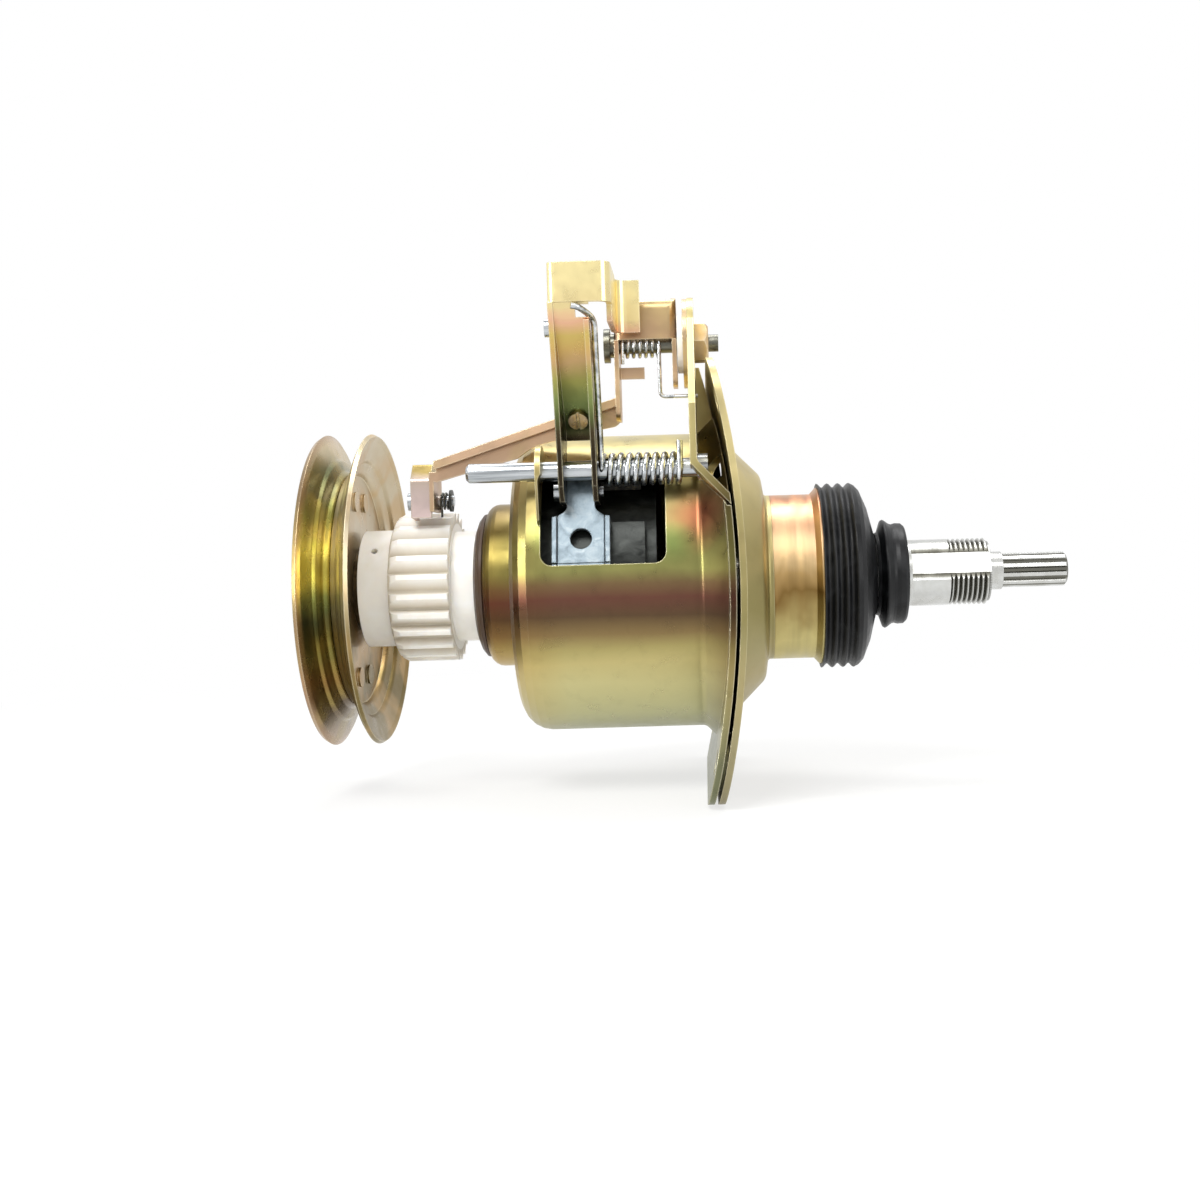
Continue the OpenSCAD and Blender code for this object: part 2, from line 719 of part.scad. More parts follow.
module brake_lug()
    color("#9aa3a8") lug_frame() difference() {
        union() {
            plate_y(lug_d - lug_t, lug_d) {
                round_rect(lever_mid_x - lug_w / 2, -lug_h / 2, lug_w, lug_h - 1, 1.4);
                translate([lever_mid_x, lug_h / 2 - 1]) polygon([[-lug_w / 2 + 2, -1],
                    [-lug_w / 2 + 2, 0], [-lug_neck_w / 2 - 0.6, 1.8], [-lug_neck_w / 2, 3],
                    [lug_neck_w / 2, 3], [lug_neck_w / 2 + 0.6, 1.8], [lug_w / 2 - 2, 0],
                    [lug_w / 2 - 2, -1]]);
            }
            lug_neck(lug_d - lug_t, 5, lug_pin_s + 4.2);
            lug_wall(-lug_w / 2, -lug_h / 2 + 2, lug_rim_t, lug_h - 3.5, band_out_r + 1.4);
            lug_wall(lug_w / 2 - lug_rim_t, -lug_h / 2 + 2, lug_rim_t, lug_h - 3.5, band_out_r + 1.4);
            lug_wall(-lug_w / 2 + 2, -lug_h / 2, lug_w - 4, lug_rim_t, lug_d - lug_t);
            translate([lever_mid_x - lug_w / 2 + 2.5, band_out_r - 0.2, -lug_h / 2])
                cube([lug_w - 5, lug_d - band_out_r - 1, lug_rim_t]);
            lug_neck(lug_pin_d - lug_pin_r - clear - lug_t, lug_pin_s - 1,
                lug_pin_s + lug_pin_r + clear + lug_t);
            translate([lever_mid_x - lug_neck_w / 2, lug_pin_d - lug_pin_r - clear - lug_t,
                lug_pin_s + lug_pin_r + clear])
                cube([lug_neck_w, lug_d - lug_pin_d + lug_pin_r + clear + lug_t, lug_t]);
        }
        for (side = [-1, 1])
            translate([lever_mid_x + side * (lug_w / 2 - lug_rim_t - lug_groove / 2) - lug_groove / 2,
                lug_d - 1, -lug_h / 2 + 1]) cube([lug_groove, 2, lug_h]);
        translate([lever_mid_x - lug_w / 2 + 1.4, lug_d - 1, -lug_h / 2 + lug_rim_t])
            cube([lug_w - 2.8, 2, lug_groove]);
        translate([lever_mid_x, 0, 0.7]) rotate([-90, 0, 0]) cylinder(h = 60, r = lug_hole_r);
    }

// Rod
module lever_rod()
    color("#c9cdd0") {
        rod_x(rod_x0 + 1, ear_right_x, rod_r, -rod_y, rod_z);
        translate([rod_x0, -rod_y, rod_z]) rotate([0, 90, 0])
            cylinder(h = 1, r1 = rod_r - 1, r2 = rod_r);
        rod_x(ear_right_x, ear_right_x + 3.6, rod_head_r, -rod_y, rod_z);
    }

// Pivot screw of the pawl lever
pivot_head_x = cheek_x0 - 1.2 - clear;

module pivot_screw()
    color("#9c9a90") {
        rod_x(pivot_head_x, ear_right_x + 8.5, pivot_r, -pivot_y, pivot_z);
        rod_x(pivot_head_x - 2.1, pivot_head_x, 6, -pivot_y, pivot_z);
        rod_x(pivot_head_x, cheek_x0 - fit_run, 4.2, -pivot_y, pivot_z);
    }

module pivot_washer()
    color("#e6e2d8") tube_x(bracket_x1 + slide_gap, ear_x - fender_t, 10.3,
        pivot_r + fit_run, -pivot_y, pivot_z);

module fender_washer()
    color("#c0ae6c") tube_x(ear_x - fender_t, ear_x, 15.6, pivot_r + fit_run,
        -pivot_y, pivot_z);

nut_r = 7.4;
nut_w = 5;

module lock_nut()
    color("#b7ab78") difference() {
        union() {
            translate([ear_right_x, -pivot_y, pivot_z]) rotate([0, 90, 0])
                cylinder(h = nut_w, r = nut_r - 0.2, $fn = 6);
            rod_x(ear_right_x, ear_right_x + 1, nut_r, -pivot_y, pivot_z);
        }
        rod_x(ear_right_x - 1, ear_right_x + nut_w + 1, pivot_r, -pivot_y, pivot_z);
    }

// Springs
big_x0 = lever_x1 + big_wire / 2 + clear;
leg_foot_z = rod_z - 2;
leg_top_z = 87;
leg_lean = 16;
spring_hook_z = 64.5;

big_path = concat(
    [[big_x0 - 6.8, strip_y - big_wire / 2 - 0.1, notch_z + 3.2],
     [big_x0 - 5, strip_y - big_wire / 2 + 0.4, notch_z + 2.9],
     [big_x0 - 3.2, strip_y + 1.2, notch_z + 2],
     [big_x0 - 1, -rod_y - big_r - leg_lean - 1.6, leg_top_z + 0.8]],
    [for (k = [0 : 1 : 6]) [big_x0, -rod_y - big_r - leg_lean * (1 - k / 6),
        leg_top_z - 1.2 + (rod_z + 5 - leg_top_z) * k / 6]],
    coil(big_x0, big_pitch, big_turns, big_r, -rod_y, rod_z, 270),
    [[big_x0 + big_turns * big_pitch, -rod_y - big_r, rod_z + 5],
     [big_x0 + big_turns * big_pitch, -rod_y - big_r, rod_z + 9]]);

module brake_return_spring() {
    echo(big_spring_gap = least_gap(coil(big_x0, big_pitch, big_turns, big_r, 0, 0, 270), big_wire));
    color("#c4c8cb") wire(big_path, big_wire);
}

small_x0 = cheek_x0 + pawl_t + small_wire / 2 + clear;
small_x1 = small_x0 + small_turns * small_pitch;

small_path = concat(
    [[small_x0, -pivot_y - small_r, pivot_z - 7], [small_x0, -pivot_y - small_r, pivot_z - 3]],
    coil(small_x0, small_pitch, small_turns, small_r, -pivot_y, pivot_z, 270),
    [[small_x1, -pivot_y - small_r, pivot_z - 3], [small_x1, -pivot_y - small_r, spring_hook_z + 2],
     [small_x1 + 0.7, -pivot_y - small_r, spring_hook_z + 0.4],
     [small_x1 + 2.4, -pivot_y - small_r, spring_hook_z],
     [ear_right_x + 1.4, -pivot_y - small_r, spring_hook_z]]);

module pawl_lever_spring() {
    echo(small_spring_gap = least_gap(coil(small_x0, small_pitch, small_turns, small_r, 0, 0, 270), small_wire));
    color("#8d8c84") wire(small_path, small_wire);
}

// Brake lever: its top is one bent strip from the left side to the tab
near_edge = [[strip_y + 4, lever_top_z], [strip_y + 4, strip_z], [strip_y, strip_z], [-73.5, 88],
    [-64, 68], [-55.5, 42], [-54, 33]];
web_path = [[strip_y + 0.1, lever_top_z, 0], [strip_y + 0.1, 90, 20], [-56, 70, 40], [-40.4, 53.2, 8],
    [-38.5, 49.5, 0]];
web_points = rounded(web_path);
strip_path = [[lever_x0, strip_y + 6, 0], [lever_x0, strip_y, 2.6], [lever_top_x1, strip_y, 4],
    [lever_top_x1, tab_far_y - lever_t, 3.6], [lever_top_x1 + tab_w, tab_far_y - lever_t, 0]];

// Outlines of the lever are cut off at a height
module below(z)
    intersection() {
        children();
        translate([-100, 0]) square([100, z]);
    }

module lever_side(top_z)
    difference() {
        union() {
            translate([lug_pin_y, lug_pin_z]) circle(r = lug_pin_r + 1.8);
            below(top_z) polygon(concat(near_edge, [[-50, 28], [-39, 27], [-35, 31],
                [-37, 35.5], [-39.6, 40.5], [-36.8, 46.5], [-34.5, 49.5]],
                [for (p = reversed(web_points)) p + [4, 1]]));
        }
        translate([-rod_y, rod_z]) circle(r = rod_r + fit_run);
        translate([lug_pin_y, lug_pin_z]) circle(r = lug_pin_r);
    }

module web_section()
    below(lever_top_z) polygon(concat(web_points, reversed(shifted(web_points, lever_t))));

module brake_lever()
    color("#b0a25c") difference() {
        union() {
            plate_x(lever_x0, lever_x0 + lever_t) lever_side(lever_top_z);
            plate_x(lever_x1 - lever_t, lever_x1) lever_side(86);
            intersection() {
                plate_x(lever_x0, lever_x1) web_section();
                translate([lever_x0 - 1, -100, 0]) cube([lever_top_w, 100, strip_z + 0.5]);
            }
            difference() {
                translate([0, 0, tab_z0]) linear_extrude(lever_top_z - tab_z0)
                    polygon(sheet_outline(strip_path, lever_t));
                translate([lever_x0 - 1, strip_y - 1, tab_z0 - 1])
                    cube([lever_top_w + 2, 9, strip_z - tab_z0 + 1]);
                translate([lever_x0, tab_far_y - 8, lever_top_z - 0.5]) cube([40, 20, 2]);
            }
        }
        translate([lever_x1 - notch_w, strip_y - 3, notch_z])
            cube([notch_w + 1, 12, strip_z - notch_z - 0.5]);
        rod_x(lever_x0 - 1, lever_x0 + lever_t + 1, 2, -66, 84.5);
        at_lever_screw() cylinder(h = 12, r = screw_r, center = true);
    }

module lug_pin()
    color("#b9bdc0") {
        rod_x(lever_x0 - 1.6, lever_x1 + 1, lug_pin_r, lug_pin_y, lug_pin_z);
        rod_x(lever_x0 - 3, lever_x0 - fit_run, lug_pin_r + 1, lug_pin_y, lug_pin_z);
    }

module lever_rivet()
    color("#a8a69a") {
        rod_x(lever_x0 - 1.8, lever_x0, 3, -66, 84.5);
        rod_x(lever_x0 - 0.5, lever_x0 + lever_t + 1, 2, -66, 84.5);
    }

// Slotted screw, square to the lever's web
screw_r = 2;
screw_at = 0.2 * xy(web_path[2]) + 0.8 * xy(web_path[3]);
web_run = unit(xy(web_path[3]) - xy(web_path[2]));

module at_lever_screw()
    translate([lever_mid_x, screw_at.x, screw_at.y])
        rotate([atan2(side([0, 0], web_run).x, -side([0, 0], web_run).y), 0, 0]) children();

module lever_screw()
    color("#c9b56e") at_lever_screw() difference() {
        union() {
            translate([0, 0, -lever_t - 2]) cylinder(h = lever_t + 2.5, r = screw_r);
            cylinder(h = 1.6, r = screw_r + 1.4);
        }
        translate([-0.5, -5, 0.9]) cube([1, 10, 2]);
    }

// Pawl lever
bracket_top_z = 99;
bracket_web_z = 84.5;
bracket_bend = 3;
bracket_path = [[cheek_x0, bracket_y + bracket_bend + 0.5, 0], [cheek_x0, bracket_y, bracket_bend],
    [bracket_x1, bracket_y, bracket_bend], [bracket_x1, bracket_y + bracket_bend + 0.5, 0]];

module cheek_blank(z0, z1, y1) round_rect(bracket_y, z0, y1 - bracket_y, z1 - z0, 4);

module cheek(z0, z1, y1)
    difference() {
        cheek_blank(z0, z1, y1);
        translate([-pivot_y, pivot_z]) circle(r = pivot_r + fit_run);
    }

arm_top = [[cheek_x0 + pawl_t, 65.4], [arm_x0, 44.5]];
arm_end = [cheek_x0 + pawl_t, 56];
arm_outline = [[cheek_x0 + pawl_t, 65.4], each corner(arm_end + [0, 9], arm_end, arm_end - [6, 2], 4),
    [cheek_x0 - 5, 54.4], [arm_x0 + 41, 50.4], [arm_x0 + 36, 49.2], [arm_x0 + 32.6, 47.4], [arm_x0 + 29, 44.8],
    [arm_x0 + 12.6, 40.6],
    [arm_x0, 37.2], [arm_x0, 44.5]];

// The pot's outside, for the arm to pass over
module pot_room()
    revolve_x(concat(shifted(rounded(lower_path), clear - 0.1), [[mouth_x, 0], [cup_end_x, 0]]));

module pawl_lever()
    color("#b08f6c") {
        difference() {
            union() {
                plate_x(cheek_x0, cheek_x0 + pawl_t) cheek(56.6, bracket_top_z, -20);
                plate_x(bracket_x1 - pawl_t, bracket_x1) cheek(68, bracket_top_z, -20);
            }
            translate([cheek_x0 - 1, bracket_y - 1, bracket_web_z])
                cube([bracket_w + 2, bracket_bend + 1, bracket_top_z]);
        }
        intersection() {
            translate([0, 0, bracket_web_z]) linear_extrude(bracket_top_z - bracket_web_z)
                polygon(sheet_outline(bracket_path, pawl_t));
            plate_x(cheek_x0, bracket_x1) cheek(56.6, bracket_top_z, -20);
        }
        translate([cheek_x0 + pawl_t - 0.2, -24, 72]) cube([8.6, pawl_t, 4]);
        difference() {
            plate_y(arm_y, arm_y + pawl_t) polygon(arm_outline);
            pot_room();
        }
        plate_y(arm_y - 4.4, arm_y + pawl_t)
            polygon([arm_top[0], arm_top[1], arm_top[1] - [0, pawl_t], arm_top[0] - [0, pawl_t]]);
        plate_y(arm_y - 4.4, arm_y - 4.4 + pawl_t)
            polygon([arm_top[0], arm_top[1], arm_top[1] - [0, 3], arm_top[0] - [0, 3]]);
        translate([arm_lug_x, arm_y, 37.4]) cube([arm_x0 - arm_lug_x + 1, pawl_t, 3.6]);
        difference() {
            translate([arm_lug_x, arm_y, 27]) cube([pawl_t, 17, 14]);
            rod_x(arm_lug_x - 1, arm_x0 + 3, pawl_pin_r, pawl_pin_y, pawl_pin_z);
        }
    }

module pawl_pin()
    color("#8f8f8a") {
        rod_x(pawl_x0 - 0.6, arm_x0 + pawl_t + 3, pawl_pin_r, pawl_pin_y, pawl_pin_z);
        rod_x(pawl_x0 - 1.8, pawl_x0 - fit_run - 0.1, pawl_pin_r + 1.2, pawl_pin_y, pawl_pin_z);
    }

module retaining_clip()
    color("#4a4b45") difference() {
        rod_x(clip_x, clip_x + 0.9, 4, pawl_pin_y, pawl_pin_z);
        rod_x(clip_x - 1, clip_x + 2, pawl_pin_r, pawl_pin_y, pawl_pin_z);
        translate([clip_x - 1, pawl_pin_y - 1.2, pawl_pin_z - 6]) cube([3, 2.4, 6]);
    }

pawl_spring_r = pawl_pin_r + pawl_wire / 2 + 0.4;
pawl_spring_x0 = arm_lug_x + pawl_t + pawl_wire / 2 + 0.05;
pawl_pitch = 1.22;
pawl_turns = 2.5;
clip_x = pawl_spring_x0 + pawl_pitch * pawl_turns + pawl_wire / 2 + 0.05;
// The leg ends above the ratchet teeth
pawl_leg = 5.7;
pawl_coil = coil(pawl_spring_x0, pawl_pitch, pawl_turns, pawl_spring_r, pawl_pin_y, pawl_pin_z, 90);

module pawl_spring() {
    echo(pawl_spring_gap = least_gap(pawl_coil, pawl_wire));
    color("#4a4b45") wire(concat(
        [[pawl_spring_x0, pawl_pin_y + pawl_spring_r, pawl_pin_z - pawl_leg],
         [pawl_spring_x0, pawl_pin_y + pawl_spring_r, pawl_pin_z - 2]],
        pawl_coil), pawl_wire);
}

pawl_face = [[-21, 25, 0], [-21, 38.6, 2], [-15.5, 44.4, 2], [-9.5, 44.4, 0]];

module pawl()
    color("#b9a072") difference() {
        union() {
            plate_x(pawl_x0, pawl_x0 + pawl_t) polygon(concat(rounded(pawl_face),
                [[-9.5, 28.6], [-12, 27.2], [-12.8, 24.2], [-14.4, 24.6], [-19, 25]]));
            plate_x(pawl_x1 - pawl_t, pawl_x1) polygon(concat(rounded(pawl_face),
                [[-9.5, 28.6], [-12, 27.9], [-17, 27.9]]));
            plate_x(pawl_x0, pawl_x1) polygon(sheet_outline(pawl_face, -pawl_t));
        }
        rod_x(pawl_x0 - 1, pawl_x1 + 1, pawl_pin_r + fit_run, pawl_pin_y, pawl_pin_z);
    }

// Ratchet sleeve
ratchet_phase = 4;
tooth_deg = 360 / ratchet_n;
function ratchet_outline() = flat([for (i = [0 : ratchet_n - 1])
    let (a = tooth_deg * i + ratchet_phase)
    [for (s = [[ratchet_root_r, 0], [ratchet_r, 0.6], [ratchet_r, 0.3 * tooth_deg],
               [ratchet_root_r, 0.85 * tooth_deg]])
        s.x * [-sin(a + s.y), cos(a + s.y)]]]);

module ratchet_sleeve()
    color("#e8e4da") difference() {
        union() {
            intersection() {
                plate_x(ratchet_x0, ratchet_x1) polygon(ratchet_outline());
                revolve_x([[ratchet_x0, 0], [ratchet_x0, ratchet_r - 3.6],
                    [ratchet_x0 + 1.2, ratchet_r - 1.2], [ratchet_x0 + 3.8, ratchet_r + 0.1],
                    [ratchet_x1, ratchet_r + 0.1], [ratchet_x1, 0]]);
            }
            rod_x(ratchet_start_x, ratchet_x0 + 1, ratchet_flange_r);
            rod_x(ratchet_x1 - 1, ratchet_end_x, ratchet_neck_r);
        }
        rod_x(ratchet_start_x + ratchet_lip_w, ratchet_end_x - ratchet_lip_w, ratchet_bore_r);
        rod_x(ratchet_start_x - 1, ratchet_end_x + 1, sleeve_r + fit_run);
        translate([ratchet_start_x + 5.5, 0, 0]) rotate([50, 0, 0]) cylinder(h = 40, r = 1.2);
    }

clutch_r = (sleeve_r + 0.25 + clutch_wire / 2) / cos(180 / spring_rings);
clutch_pitch = 2.75;
clutch_turns = 12;

module clutch_spring() {
    p = coil(ratchet_start_x + ratchet_lip_w + 2, clutch_pitch, clutch_turns, clutch_r, 0, 0, 0);
    echo(clutch_spring_gap = least_gap(p, clutch_wire));
    color("#7a7a78") wire(p, clutch_wire);
}

// Pulley
rim_half = pulley_w / 2;
disc_path = [[0, shaft_r, 0], [0, groove_r - 1.2, 1.2], [2.2, groove_r - 0.2, 1],
    [3.4, groove_r + 3.4, 0.8], [4.8, groove_r + 4.4, 0.8], [rim_half - 1.2, pulley_r - 2, 1.5],
    [rim_half, pulley_r, 0]];

module half_disc(sign)
    translate([pulley_mid_x, 0, 0]) mirror([sign < 0 ? 1 : 0, 0, 0]) {
        revolve_x(sheet_outline(disc_path, -pulley_t));
    }

module clinch_buttons(x0, x1, r)
    for (side = [-1, 1], k = [-1, 1])
        rod_x(x0, x1, r, k * 7.5, side * 32);

module pulley_inner_disc()
    color("#bfae66") {
        half_disc(1);
        clinch_buttons(pulley_mid_x + pulley_t - 0.2, pulley_mid_x + pulley_t + 1, 3.6);
    }

module pulley_outer_disc()
    color("#bfae66") {
        half_disc(-1);
        clinch_buttons(pulley_mid_x - pulley_t - 0.8, pulley_mid_x - pulley_t + 0.2, 2.4);
    }

nut_x1 = pulley_mid_x - pulley_t - 2;

module pulley_washer()
    color("#b8b4a0") tube_x(nut_x1, pulley_mid_x - pulley_t, 11, shaft_r);

module pulley_nut()
    color("#b8b4a0") difference() {
        translate([nut_x1 - 8, 0, 0]) rotate([0, 90, 0]) cylinder(h = 8, r = 10.4, $fn = 6);
        rod_x(nut_x1 - 9, nut_x1 + 1, shaft_r);
    }

sun_x0 = gear_x0 - 1;

module input_shaft()
    color("#b4b4b0") {
        rod_x(nut_x1 - 10, sun_x0, shaft_r);
        rod_x(sun_x0 - 1, gear_x1 + 1, 5);
    }

module sun_gear()
    color("#9a9a96") difference() {
        gear(sun_n, sun_x0, gear_x1 + 1);
        rod_x(sun_x0 - 1, gear_x1 + 2, 5);
    }

module clutch_sleeve()
    color("#8c8c88") tube_x(clutch_sleeve_x0, clutch_sleeve_x1, sleeve_r, shaft_r);

// Drum
module brake_drum()
    color("#8a8a86") {
        tube_x(drum_x0, drum_x1, drum_r, drum_r - drum_wall);
        tube_x(drum_x1 - 3, drum_x1, drum_r - 0.5, tube_seat_r);
    }

module drum_cover()
    color("#8a8a86") {
        tube_x(drum_x0 + 0.5, drum_x0 + 3.5, drum_r - drum_wall, tube_bore_r);
        tube_x(drum_tube_x0, drum_x0 + 1, sleeve_r, tube_bore_r);
        tube_x(low_bearing_x + low_bearing_w, drum_x0 + 1, sleeve_r + 2, sleeve_r - 1);
    }

ring_x0 = gear_x0 - 1;
ring_x1 = gear_x1 + 1;

module ring_gear()
    color("#77776f") difference() {
        rod_x(ring_x0, ring_x1, ring_out_r);
        plate_x(ring_x0 - 1, ring_x1 + 1)
            polygon(gear_outline(ring_n, gear_m * ring_n / 2 - 0.85 * gear_m,
                gear_m * ring_n / 2 + 1.2 * gear_m, -backlash_deg * 18 / ring_n));
    }

flat_half = 10.4;
flat_turn = 19;
thread_pitch = 1.8;
thread_depth = 1.1;
thread_n = floor(thread_len / thread_pitch);

module spin_tube()
    color("#d2d3d2") difference() {
        union() {
            rod_x(drum_x1 - 3, top_bearing_x + top_bearing_w + 4, tube_seat_r);
            rod_x(drum_x1, top_bearing_x, tube_seat_r + 1.4);
            rod_x(top_bearing_x + top_bearing_w, tube_end_x - thread_len, tube_r);
            revolve_x(concat([[tube_end_x - thread_len, 0]],
                [for (i = [0 : thread_n - 1]) for (s = [[0, thread_depth], [0.45, 0], [0.55, 0]])
                    [tube_end_x - thread_len + thread_pitch * (i + s.x), tube_r - s.y]],
                [[tube_end_x - thread_len + thread_pitch * thread_n, tube_r - thread_depth],
                 [tube_end_x, tube_r - thread_depth], [tube_end_x, 0]]));
        }
        rod_x(drum_x1 - 4, tube_end_x + 1, tube_bore_r);
        for (turn = [0, 180]) rotate([90 + turn - flat_turn, 0, 0])
            translate([seal_end_x + 13, -20, flat_half]) cube([80, 40, 10]);
    }

bush_len = 12;

module bush(x0) tube_x(x0, x0 + bush_len, tube_bore_r, shaft_r + fit_run);

module shaft_bushes()
    color("#a8823c") {
        bush(drum_tube_x0);
        bush(drum_x0 - 8);
        bush(drum_x1 - 1);
        bush(tube_end_x - bush_len);
    }

// Output
carrier_t = 4;
carrier_x0 = gear_x1 + 2.5;

module pulsator_shaft()
    color("#d8d9d8") difference() {
        union() {
            rod_x(carrier_x0, tube_end_x + shaft_collar_len, shaft_r);
            rod_x(tube_end_x + clear, tube_end_x + shaft_collar_len, 7);
            intersection() {
                plate_x(tube_end_x + shaft_collar_len - 1, shaft_end_x)
                    polygon(flat([for (i = [0 : spline_n - 1]) let (a = 360 * i / spline_n, h = 90 / spline_n)
                        [for (s = [[shaft_r - 0.7, -1.3 * h], [shaft_r + 0.3, -0.75 * h],
                                   [shaft_r + 0.3, 0.75 * h], [shaft_r - 0.7, 1.3 * h]])
                            s.x * [cos(a + s.y), sin(a + s.y)]]]));
                revolve_x([[carrier_x0, 0], [carrier_x0, 8], [shaft_end_x - 1, 8],
                    [shaft_end_x - 1, shaft_r + 0.4], [shaft_end_x, shaft_r - 0.8], [shaft_end_x, 0]]);
            }
        }
        rod_x(shaft_end_x - 16, shaft_end_x + 1, 2.5);
    }

module planet_carrier()
    color("#94948c") {
        difference() {
            rod_x(carrier_x0, carrier_x0 + carrier_t, planet_orbit + 7);
            rod_x(carrier_x0 - 1, carrier_x0 + carrier_t + 1, shaft_r);
            for (k = [0 : planet_count - 1]) rotate([120 * k, 0, 0])
                rod_x(carrier_x0 - 1, carrier_x0 + carrier_t + 1, planet_pin_r, planet_orbit);
        }
    }

module planet_pins()
    color("#b4b4b0") for (k = [0 : planet_count - 1]) rotate([120 * k, 0, 0])
        rod_x(gear_x0 - 0.5, carrier_x0 + carrier_t, planet_pin_r, planet_orbit);

module planet_gear(k)
    color("#e0dccf") rotate([120 * k, 0, 0]) translate([0, planet_orbit, 0]) difference() {
        gear(planet_n, gear_x0, gear_x1);
        rod_x(gear_x0 - 1, gear_x1 + 1, planet_pin_r + fit_run);
    }

lower_housing();
upper_bracket();
neck_tube();
lower_bearing_outer();
lower_bearing_balls();
lower_bearing_inner();
upper_bearing_outer();
upper_bearing_balls();
upper_bearing_inner();
dust_seal();
shaft_seal();
water_seal();
brake_band();
brake_lining();
band_anchor();
lever_rod();
pivot_screw();
pivot_washer();
fender_washer();
lock_nut();
pawl_lever_spring();
brake_lever();
lug_pin();
lever_rivet();
lever_screw();
brake_return_spring();
brake_lug();
pawl_lever();
pawl_pin();
pawl_spring();
retaining_clip();
pawl();
ratchet_sleeve();
clutch_spring();
pulley_outer_disc();
pulley_inner_disc();
pulley_nut();
pulley_washer();
input_shaft();
clutch_sleeve();
sun_gear();
brake_drum();
drum_cover();
ring_gear();
spin_tube();
shaft_bushes();
lip_ring();
pulsator_shaft();
planet_carrier();
planet_pins();
planet_gear(0);  // planet_gear_1
planet_gear(1);  // planet_gear_2
planet_gear(2);  // planet_gear_3
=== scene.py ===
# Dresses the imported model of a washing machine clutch: finishes, round wire, the lock nut and the studio.
# Lengths are metres in the model's frame: +X along the main axis to the splined shaft, +Z up, camera at -Y.
from math import cos, pi, radians, sin

import bmesh
import bpy
from mathutils import Matrix, Vector


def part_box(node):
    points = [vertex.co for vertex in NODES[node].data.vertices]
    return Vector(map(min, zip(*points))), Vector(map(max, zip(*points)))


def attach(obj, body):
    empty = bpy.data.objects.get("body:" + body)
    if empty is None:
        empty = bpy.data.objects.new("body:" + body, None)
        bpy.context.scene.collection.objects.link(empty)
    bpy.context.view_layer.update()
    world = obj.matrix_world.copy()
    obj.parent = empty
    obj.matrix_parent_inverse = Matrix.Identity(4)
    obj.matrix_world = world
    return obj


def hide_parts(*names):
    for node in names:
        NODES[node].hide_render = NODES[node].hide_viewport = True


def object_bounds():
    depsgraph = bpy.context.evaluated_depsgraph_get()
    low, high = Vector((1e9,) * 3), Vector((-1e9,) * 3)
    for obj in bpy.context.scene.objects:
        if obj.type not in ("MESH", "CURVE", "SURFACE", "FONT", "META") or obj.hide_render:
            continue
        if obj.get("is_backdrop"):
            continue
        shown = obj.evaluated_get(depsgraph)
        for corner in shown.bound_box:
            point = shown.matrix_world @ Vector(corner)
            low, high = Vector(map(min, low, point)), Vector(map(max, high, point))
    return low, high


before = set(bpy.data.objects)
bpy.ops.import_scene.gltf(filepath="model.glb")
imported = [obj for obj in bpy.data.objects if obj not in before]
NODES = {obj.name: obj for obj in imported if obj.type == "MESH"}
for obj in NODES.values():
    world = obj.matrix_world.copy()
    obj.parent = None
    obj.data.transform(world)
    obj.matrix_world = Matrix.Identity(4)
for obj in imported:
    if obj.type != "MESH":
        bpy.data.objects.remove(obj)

bl_info = {
    "name": "Washing machine clutch",
    "version": (1, 0, 0),
    "blender": (4, 5, 0),
    "location": "3D View > Sidebar > Clutch",
    "description": "Dresses the planetary clutch of a top-loading washing machine",
    "category": "Object",
}

MM = 0.001

# The photo's width, focal length and point of sight, in its pixels, and its turn in degrees
PHOTO_WIDTH = 1200
PHOTO_FOCAL = 1550
PHOTO_SIGHT = (705, 560)
PHOTO_TURN = -1.7


def linear(code):
    """The linear colour of an sRGB hex value."""
    channels = [int(code[i:i + 2], 16) / 255 for i in (1, 3, 5)]
    return [c / 12.92 if c <= 0.04045 else ((c + 0.055) / 1.055) ** 2.4 for c in channels]


def rgba(colour):
    return (*colour[:3], 1.0)


def colour_property(name, description, code):
    return bpy.props.FloatVectorProperty(
        name=name, description=description, subtype="COLOR", size=3, min=0, max=1, default=linear(code))


def length_property(name, description, metres):
    return bpy.props.FloatProperty(
        name=name, description=description, default=metres, min=0, unit="LENGTH", subtype="DISTANCE")


class ClutchFinishes(bpy.types.PropertyGroup):
    # The colour that edges are lightened to: wear from rubbing and a painted edge highlight
    edge: colour_property("Rubbed edge", "Cut edges of the sheet", "#f0e8c8")
    steel: colour_property("Turned steel", "Shafts and spin tube", "#cfd0ce")
    bright_zinc: colour_property("Bright zinc", "Lever rod and pins", "#c9cdd0")
    casting: colour_property("Zinc casting", "Brake lug", "#7f8b92")
    dark_steel: colour_property("Dark steel", "Band, drum and small springs", "#3c3e3c")
    nylon: colour_property("Nylon", "Ratchet sleeve, washer and planet gears", "#f6f4ef")
    rubber: colour_property("Rubber", "Water seal and lip ring", "#090a0c")
    dust_rubber: colour_property("Dust seal rubber", "Seal in the mouth of the cup", "#4a3728")
    bronze: colour_property("Sintered bronze", "Shaft bushes", "#a8823c")
    backdrop: colour_property("Backdrop", "Floor and wall", "#f4f4f2")


class ClutchSizes(bpy.types.PropertyGroup):
    big_wire: length_property("Return spring wire", "Wire of the brake return spring", 2.1 * MM)
    small_wire: length_property("Lever spring wire", "Wire of the pawl lever spring", 1.3 * MM)
    pawl_wire: length_property("Pawl spring wire", "Wire of the pawl spring", 0.8 * MM)
    clutch_wire: length_property("Clutch spring wire", "Wire of the wrap spring in the sleeve", 1.4 * MM)
    edge: length_property("Edge radius", "Rounding of pressed and turned edges", 0.35 * MM)
    camera_distance: length_property("Camera distance", "From the camera to the main axis", 574 * MM)


def finishes():
    return bpy.context.scene.clutch_finishes


def sizes():
    return bpy.context.scene.clutch_sizes


# Materials

